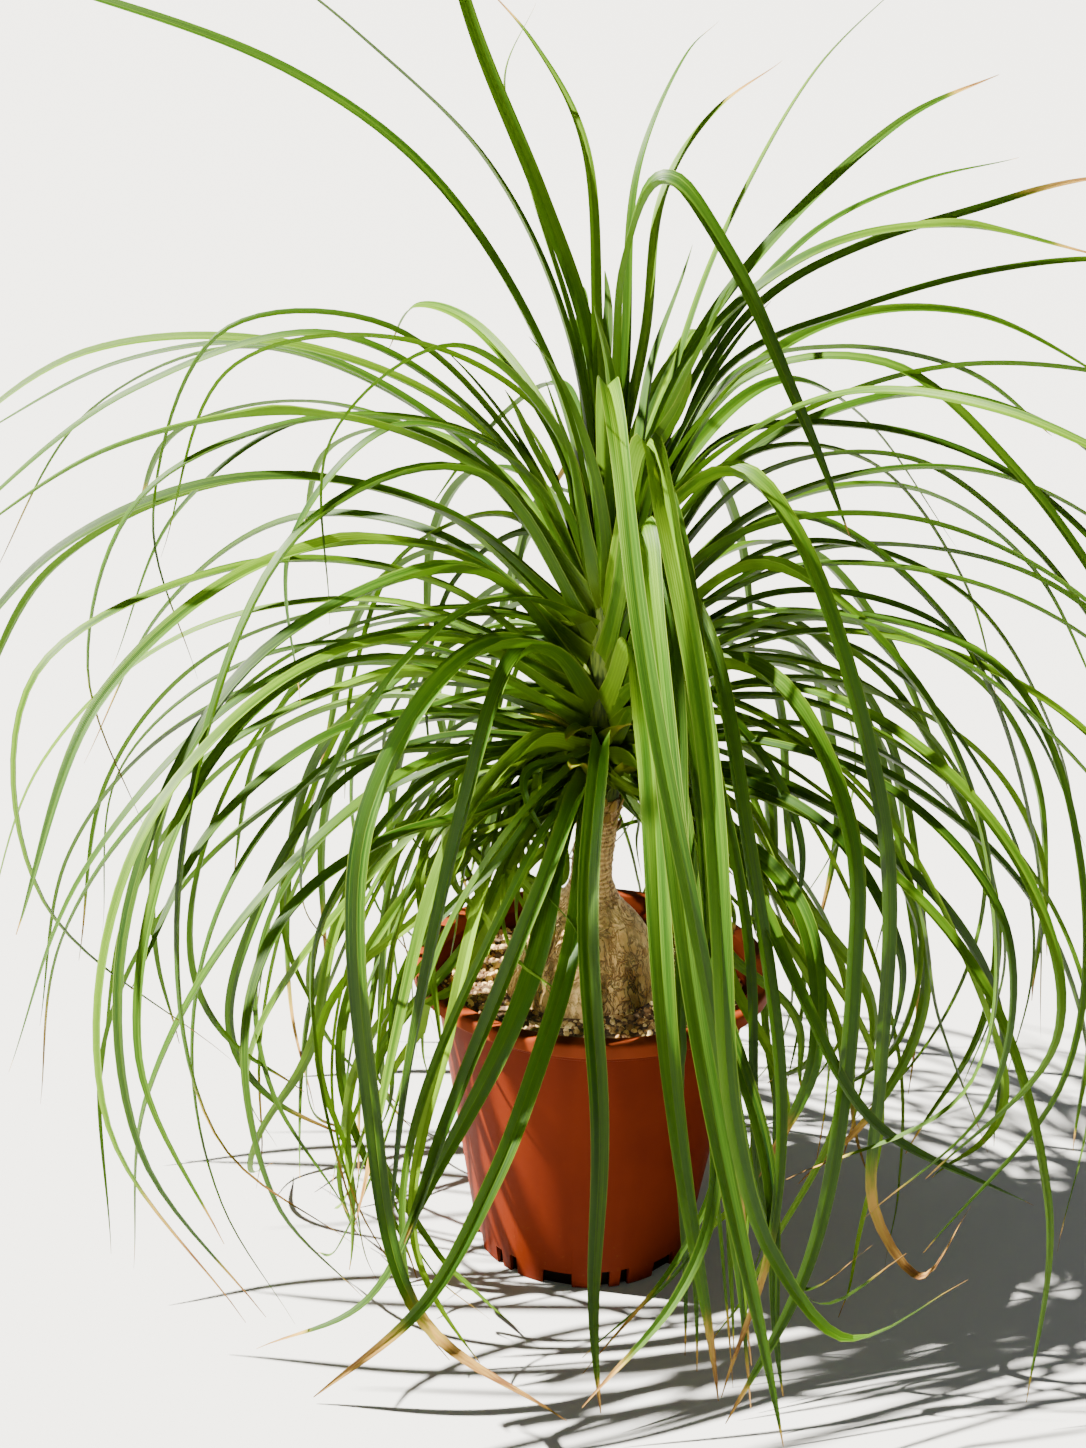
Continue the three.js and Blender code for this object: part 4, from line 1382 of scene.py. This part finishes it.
# %% Strap tree
def strap_tree():
    nodes, entry = new_tree("straps", Section=int, Thickness=float, Material=bpy.types.Material)
    curves = nodes.add("GeometryNodeMeshToCurve", None, entry["Geometry"])
    side = named(nodes, "side", "FLOAT_VECTOR")
    facing = nodes.add("GeometryNodeSetCurveNormal", {"mode": "FREE"}, curves, normal=side)
    ring = nodes.add("GeometryNodeCurvePrimitiveCircle", None, entry["Section"], radius=1.0)
    across, through, _ = nodes.parts(nodes.add("GeometryNodeInputPosition"))
    ring = stored(nodes, ring, "across", across)
    ring = stored(nodes, ring, "face", through)
    flat = nodes.vector(across, through * entry["Thickness"], 0)
    section = nodes.add("GeometryNodeSetPosition", None, ring, position=flat)
    half = named(nodes, "half")
    swept = nodes.add(
        "GeometryNodeCurveToMesh", None, facing, section, scale=half, fill_caps=True
    )
    out = named(nodes, "across") * half
    fold = named(nodes, "fold")
    drawn_in = side * (out * (nodes.maths("COSINE", fold) - 1))
    rise = nodes.maths("ABSOLUTE", out) * nodes.maths("SINE", fold)
    raised = named(nodes, "up", "FLOAT_VECTOR") * rise
    folded = nodes.add("GeometryNodeSetPosition", None, swept, offset=drawn_in + raised)
    uv = nodes.vector(named(nodes, "across") * 0.5 + 0.5, named(nodes, "along"), 0)
    mapped = stored(nodes, folded, "UVMap", uv, kind="FLOAT2", domain="CORNER")
    rounded_off = nodes.add("GeometryNodeSetShadeSmooth", None, mapped)
    return end_tree(nodes, rounded_off, entry["Material"])


# %% [markdown]
# A leaf's green is built up as the eye finds it. Each leaf has its own tone; fine ribs, veins and
# broader streaks run along it; the margins are thin and pale; the clasping base is yellow-green;
# and the tip dries through yellow and tan to brown. A leaf is thin, so light also comes through
# it: part of the surface is a Translucent shader in a brighter yellow-green.

# %% Leaf material
DEEP, MID, FRESH = (0.002, 0.015, 0.001), (0.020, 0.066, 0.0012), (0.160, 0.285, 0.006)
SHINE_THROUGH = (0.30, 0.48, 0.003)
RIB, UNDERSIDE, MIDRIB = (0.004, 0.020, 0.0005), (0.07, 0.14, 0.008), (0.13, 0.23, 0.006)
MARGIN, CLASPING_BASE = (0.28, 0.36, 0.04), (0.12, 0.18, 0.008)
GREENS = [(0.0, DEEP), (0.45, MID), (1.0, FRESH)]
BROWNS = [(0.0, (0.28, 0.25, 0.008)), (0.45, (0.36, 0.21, 0.04)), (1.0, (0.13, 0.055, 0.015))]


def leaf_material(name="strap_leaf", through=0.26):
    material, nodes = new_material(name)
    uv = nodes.add("ShaderNodeUVMap", {"uv_map": "UVMap"})
    u, v, _ = nodes.parts(uv)
    number = nodes.attribute("leaf")
    dry = nodes.attribute("dry")
    run = v * nodes.attribute("length")
    from_middle = nodes.maths("ABSOLUTE", u - 0.5) * 2
    veins = nodes.noise(nodes.vector(u * 30, run * 5, number * 3.7), 1, 2, 0.6)
    streaks = nodes.noise(nodes.vector(u * 5, run * 8, number * 5.3), 1, 2)
    ribs = nodes.maths("SINE", u * (2 * pi * 12)) * 0.5 + 0.5
    # Tone: one part for the whole leaf, one part for streaks along it.
    shade = nodes.attribute("tone") * 0.7 + nodes.step(streaks, 0.3, 0.7, -0.05, 0.25)
    colour = nodes.ramp(shade, GREENS)
    colour = nodes.blend(nodes.step(veins, 0.45, 0.72, 0, 0.35), colour, FRESH)
    colour = nodes.blend(ribs * 0.35, colour, RIB)
    # The underside is duller, the midrib and the margins are pale, the clasping base is yellowish.
    under = 1 - nodes.step(nodes.attribute("face"), -0.5, 0.1)
    colour = nodes.blend(under * 0.2, colour, UNDERSIDE)
    middle = 1 - nodes.step(from_middle, 0.02, 0.10)
    colour = nodes.blend(middle * 0.2, colour, MIDRIB)
    margin = nodes.step(from_middle, 0.90, 0.97)
    colour = nodes.blend(margin * 0.25, colour, MARGIN)
    base = 1 - nodes.step(run, 10 * MM, 55 * MM)
    colour = nodes.blend(base * 0.4, colour, CLASPING_BASE)
    # Ageing: green turns yellow, then tan, then brown, in patches.
    patches = nodes.noise(nodes.vector(u * 3, run * 60, number * 2.1), 1, 4)
    age = dry * nodes.step(patches, 0.35, 0.65, 0.6, 1.1)
    colour = nodes.blend(nodes.step(age, 0.05, 0.45), colour, nodes.ramp(age, BROWNS))
    relief = ribs * 0.4 + veins * 0.7
    solid = principled(
        nodes,
        base_color=colour,
        roughness=nodes.step(veins, 0.3, 0.7, 0.40, 0.52) + age * 0.3,
        specular_ior_level=0.14,
        normal=nodes.bump(relief, 0.16 * MM, 0.8),
    )
    lit_through = nodes.add("ShaderNodeBsdfTranslucent", None, SHINE_THROUGH)
    share = (1 - nodes.step(age, 0, 1) * 0.6) * through
    set_surface(nodes, nodes.add("ShaderNodeMixShader", None, share, solid, lit_through))
    return material


# %% [markdown]
# One call grows each piece of the crown: routes become straps, straps become lines with values on
# them, and the tree sweeps the lines into closed leaves. Each piece has its own seed and ranges:
# young leaves are straight and deep green, old ones twist, wander and turn yellow-green.

# %% Grow the crown
SECTION, THIN_SECTION = 12, 8
SHARPEST_FOLD = 30
leaf_look = leaf_material()
straps_tree = strap_tree()


def grow(name, routes, seed, section=THIN_SECTION, **shape):
    """One piece of leaves, from routes to a finished mesh."""
    draw = make_random(SEED + seed)
    first = (SEED + seed) % 97
    straps = [strap(route, first + i, draw, **shape) for i, route in enumerate(routes)]
    lines = strap_lines(name, straps)
    run_tree(lines, straps_tree, Section=section, Thickness=0.07, Material=leaf_look)
    smooth(lines, SHARPEST_FOLD)
    faces_out(lines)
    finish_piece(lines, leaf_look, "leaf", "leaf_crown")
    print(name, "has", len(routes), "leaves")


# This seed draws fresh tones for the broad leaves in front and deep ones for those beside them.
grow("strap_leaves", OUTLINE_LEAVES + fill_leaves(), 25785, SECTION, roll=30, tones=(0, 0.78))
grow("heart_leaves", heart_leaves(), 12, dryness=(0, 0.1), wander=4, roll=30, tones=(0, 0.5))
grow("bow_leaves", bow_leaves(), 6, wander=10, roll=80, tones=(0, 0.85))
grow("skirt_leaves", skirt_leaves(), 7, wander=18, roll=120, tones=(0.35, 1.2))
grow("tangle_leaves", tangle_leaves(), 11, wander=26, roll=140, tones=(0.6, 1.4))
beside_front = [companion(each, 6, 0.86, 0.96) for each in FRONT_LEAVES]
beside_front += [companion(each, 13, 0.78, 0.9) for each in FRONT_LEAVES]
grow("front_leaves", beside_front, 10, wander=8, roll=40, tones=(0, 0.7))
grow("base_leaves", base_leaves(), 8, samples=16, dryness=(0, 0.35), wander=0, roll=10)


# %% [markdown]
# ## The stem tip
#
# The leaves clasp a short green stem, of which only slivers show between their bases. It is the
# frame's own outline, turned finely, in an olive green painted dark as the shade between the leaf
# bases.

# %% Stem tip
def stem_material():
    material, nodes = new_material("shaded_green_stem")
    place = place_of(nodes)
    fibres = nodes.noise(place * (1, 1, 0.15), 500, 3)
    # Painted shade: the stem's greens are kept dark for the shade between the clasping leaf bases.
    dark, light = (0.020, 0.036, 0.004), (0.075, 0.105, 0.012)
    colour = nodes.blend(nodes.step(fibres, 0.35, 0.65), dark, light)
    return opaque(
        material,
        nodes,
        base_color=colour,
        roughness=0.6,
        specular_ior_level=0.1,
        normal=nodes.bump(fibres, 0.4 * MM),
    )


stem_outline = rounded([
    (0, CROWN_BASE * MM, 0),
    ((CROWN_RADIUS - 1) * MM, CROWN_BASE * MM, 0.5 * MM),
    (CROWN_RADIUS * MM, (CROWN_BASE + 6) * MM, 2 * MM),
    (CROWN_RADIUS * MM, 400 * MM, 8 * MM),
    (CROWN_RADIUS * 0.6 * MM, (CROWN_TOP - 8) * MM, 3 * MM),
    (0, CROWN_TOP * MM, 0),
])
stem = turned("stem_tip", stem_outline, 48)
stem_look = stem_material()
smooth(stem)
faces_out(stem)
finish_piece(stem, stem_look, "leaf", "leaf_crown")


# %% [markdown]
# ## The dry leaf bases
#
# When a leaf dies, its papery base stays on the neck for a while. They are short straps too, so the
# same tree makes them: each sets out from the neck, stands off it and curls, dry from end to end.

# %% Dry leaf bases
DRY_SCALES = 24
dry_draw = make_random(SEED + 9)


def dry_scale(k):
    azimuth = k * GOLDEN_ANGLE
    height = mixed(303, 322, k / (DRY_SCALES - 1))
    length = 7 + 9 * next(dry_draw)
    out = 14 + length * (0.05 + 0.25 * next(dry_draw))
    points = ((13.3, height), ((14 + out) / 2, height + length * 0.55), (out, height + length))
    route = leaf(azimuth, 0, height - 3, 4 + 4 * next(dry_draw), *points)
    age = 0.35 + 0.25 * next(dry_draw)
    return strap(route, k, dry_draw, samples=12, dryness=(age, age + 0.2), roll=20, wander=0.2)


scales = strap_lines("dry_leaf_bases", [dry_scale(k) for k in range(DRY_SCALES)])
dry_look = leaf_material("dry_leaf_base", 0.12)
run_tree(scales, straps_tree, Section=THIN_SECTION, Thickness=0.1, Material=dry_look)
faces_out(scales)
finish_piece(scales, dry_look, "caudex_bark", "caudex")


# %% [markdown]
# ## Floor and light
#
# The plant stands on a plain pale floor. A sun from the upper left draws the leaves' shadows on the
# pot and on each other, and the floor throws its light back into the shade. A broad, weak lamp on
# the right and an even, weak world lift what neither reaches. Two small spots stand in for sun that
# finds its way between leaves: one on the stem base, and one on the middle of the crown.

# %% Floor and light
def pale_floor():
    material, nodes = new_material("pale_floor")
    opaque(material, nodes, base_color=(0.40, 0.40, 0.39), roughness=0.9)
    reach = 400
    corners = [(-reach, -reach, 0), (reach, -reach, 0), (reach, reach, 0), (-reach, reach, 0)]
    floor = new_piece("floor", corners, [(0, 1, 2, 3)])
    floor.data.materials.append(material)


def lamp(name, kind, energy, place, aim=(0, 0, 0.4), **settings):
    data = bpy.data.lights.new(name, kind)
    data.energy = energy
    for key, value in settings.items():
        setattr(data, key, value)
    made = bpy.data.objects.new(name, data)
    made.location = place
    made.rotation_euler = (Vector(aim) - Vector(place)).to_track_quat("-Z", "Y").to_euler()
    bpy.context.scene.collection.objects.link(made)


def spot(name, energy, place, aim, width, blend, soft):
    """A round lamp on one part of the plant, its width in degrees."""
    shape = {"spot_size": radians(width), "spot_blend": blend, "shadow_soft_size": soft}
    lamp(name, "SPOT", energy, place, aim, **shape)


pale_floor()
lamp("key", "SUN", 50, (-2.7, -0.1, 3.3), angle=radians(1.2), color=(1.0, 0.96, 0.88))
lamp("fill", "AREA", 6, (2.4, -2.0, 1.8), size=2.0)
spot("front", 115, (-0.35, -1.2, 0.9), (-0.01, 0, 0.225), width=8.5, blend=0.8, soft=0.08)
spot("crown", 190, (-0.8, -0.9, 1.25), (0, -0.03, 0.42), width=15, blend=0.9, soft=0.03)
world = bpy.data.worlds.new("studio")
world.use_nodes = True
backdrop = world.node_tree.nodes["Background"]
backdrop.inputs["Color"].default_value = (0.93, 0.95, 1.0, 1)
backdrop.inputs["Strength"].default_value = 0.26
bpy.context.scene.world = world
